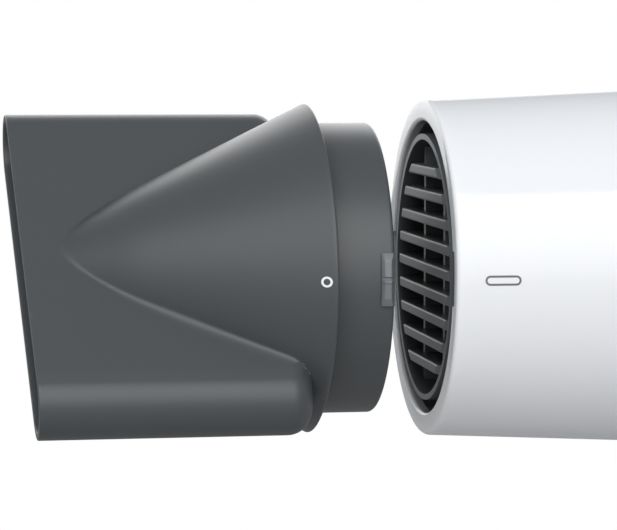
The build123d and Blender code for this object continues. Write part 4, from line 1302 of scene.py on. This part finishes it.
# ---------------- studio
@dataclass
class Studio:
    """Camera, floor, sky and lights."""

    nozzle: list[Piece]
    target: tuple[float, float, float] = (-23.443 * MM, 0.0, 0.619 * MM)
    distance: float = 542.9 * MM
    azimuth: float = math.radians(-9.456)
    elevation: float = math.radians(4.621)
    roll: float = math.radians(0.086)
    lens: float = 154.94
    floor_drop: float = 12.0 * MM
    floor_size: float = 30.0
    floor_colour: Colour = (0.42, 0.42, 0.42)
    room_colour: Colour = (0.93, 0.96, 1.0)
    room_glow: float = 0.4

    def camera(self) -> None:
        """Place the camera."""
        data = bpy.data.cameras.new("view")
        data.lens = self.lens
        data.sensor_width = 36.0
        data.clip_start = 0.01
        camera = bpy.data.objects.new("view", data)
        back = Vector(
            (
                math.sin(self.azimuth) * math.cos(self.elevation),
                -math.cos(self.azimuth) * math.cos(self.elevation),
                math.sin(self.elevation),
            )
        )
        camera.location = Vector(self.target) + back * self.distance
        turn = back.to_track_quat("Z", "Y").to_matrix() @ Matrix.Rotation(self.roll, 3, "Z")
        camera.rotation_euler = turn.to_euler()
        bpy.context.scene.collection.objects.link(camera)
        bpy.context.scene.camera = camera

    def light(
        self,
        name: str,
        place: tuple[float, float, float],
        size: tuple[float, float],
        glow: float,
        fall: float = 0.0,
        flag: Flag | None = None,
    ) -> None:
        """Hang a soft box that looks at the object.

        Args:
            name: the light's name.
            place: where it hangs, in metres.
            size: its width and height.
            glow: how bright its face is, where white paper in full light is 1.
            fall: how much its lower edge is dimmed.
            flag: whether it lights only the nozzle or spares it.
        """
        data = bpy.data.lights.new(name, "AREA")
        data.shape = "RECTANGLE"
        data.size, data.size_y = size
        data.energy = glow * math.pi * size[0] * size[1]
        if fall > 0:
            self.dim_below(data, fall)
        lamp = bpy.data.objects.new(name, data)
        lamp.location = place
        lamp.rotation_euler = Vector(place).to_track_quat("Z", "Y").to_euler()
        bpy.context.scene.collection.objects.link(lamp)
        if flag:
            group = bpy.data.collections.new(f"{name}_receivers")
            for piece in self.nozzle:
                group.objects.link(piece)
            for entry in group.collection_objects:
                entry.light_linking.link_state = flag.value
            lamp.light_linking.receiver_collection = group

    @staticmethod
    def dim_below(data: bpy.types.AreaLight, fall: float) -> None:
        """Dim a soft box towards its lower edge.

        Args:
            data: the soft box.
            fall: how much the lower edge loses.
        """
        data.use_nodes = True
        lamp = Nodes(data.node_tree)
        face = lamp.node("ShaderNodeNewGeometry")
        parts = lamp.node("ShaderNodeSeparateXYZ")
        ramp = lamp.node("ShaderNodeMapRange", interpolation_type="SMOOTHSTEP")
        ramp.inputs["From Max"].default_value = 0.6
        ramp.inputs["To Min"].default_value = 1.0 - fall
        lamp.link(face.outputs["Parametric"], parts.inputs[0])
        lamp.link(parts.outputs["Y"], ramp.inputs["Value"])
        lamp.link(ramp.outputs["Result"], lamp.tree.nodes["Emission"].inputs["Strength"])

    def floor(self) -> None:
        """Lay the pale floor under the object."""
        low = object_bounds()[0][2] - self.floor_drop
        bpy.ops.mesh.primitive_plane_add(size=self.floor_size, location=(0, 0, low))
        plane = bpy.context.object
        plane.name = "floor"
        dresser = Dresser("pale_floor")
        dresser.shader.inputs["Base Color"].default_value = (*self.floor_colour, 1.0)
        dresser.shader.inputs["Roughness"].default_value = 0.9
        glow = dresser.node("ShaderNodeEmission")
        glow.inputs["Strength"].default_value = 1.0
        path = dresser.node("ShaderNodeLightPath")
        mix = dresser.node("ShaderNodeMixShader")
        dresser.link(path.outputs["Is Camera Ray"], mix.inputs[0])
        dresser.link(dresser.shader.outputs[0], mix.inputs[1])
        dresser.link(glow.outputs[0], mix.inputs[2])
        out = dresser.tree.nodes["Material Output"]
        dresser.link(mix.outputs[0], out.inputs["Surface"])
        plane.data.materials.append(dresser.material)
        plane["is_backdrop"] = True

    def sky(self) -> None:
        """Light the room evenly, white behind the object."""
        world = bpy.data.worlds.new("studio")
        world.use_nodes = True
        bpy.context.scene.world = world
        sky = Nodes(world.node_tree)
        room = sky.tree.nodes["Background"]
        room.inputs["Color"].default_value = (*self.room_colour, 1.0)
        room.inputs["Strength"].default_value = self.room_glow
        wall = sky.node("ShaderNodeBackground")
        wall.inputs["Strength"].default_value = 1.0
        wall.inputs["Color"].default_value = (1.0, 1.0, 1.0, 1.0)
        path = sky.node("ShaderNodeLightPath")
        mix = sky.node("ShaderNodeMixShader")
        sky.link(path.outputs["Is Camera Ray"], mix.inputs[0])
        sky.link(room.outputs[0], mix.inputs[1])
        sky.link(wall.outputs[0], mix.inputs[2])
        sky.link(mix.outputs[0], sky.tree.nodes["World Output"].inputs["Surface"])

    def build(self) -> None:
        """Set the studio up."""
        self.camera()
        self.floor()
        self.sky()
        self.light("key_front", (-0.36, -2.02, 0.84), (3.6, 2.75), 2.5, fall=0.65)
        self.light("rim_nozzle", (-0.1, 2.0, 0.9), (3.2, 1.5), 2.4, flag=Flag.ONLY)
        self.light("rim_barrel", (0.2, 2.0, 0.35), (3.2, 0.9), 1.0, flag=Flag.SPARE)
        self.light("side_left", (-2.0, 0.45, 0.12), (1.8, 0.64), 4.2, flag=Flag.SPARE)
        bpy.context.scene.view_settings.view_transform = "Standard"


def main() -> None:
    """Build every sub-assembly and the studio."""
    logging.basicConfig(level=logging.INFO, format="%(name)s %(message)s")
    dress = Dress()
    nozzle = Nozzle(dress)
    for part in (nozzle, Barrel(dress), Works(dress), Handle(dress)):
        LOG.info("building %s", type(part).__name__)
        part.build()
    Studio(nozzle.pieces).build()


if __name__ == "__main__":
    main()
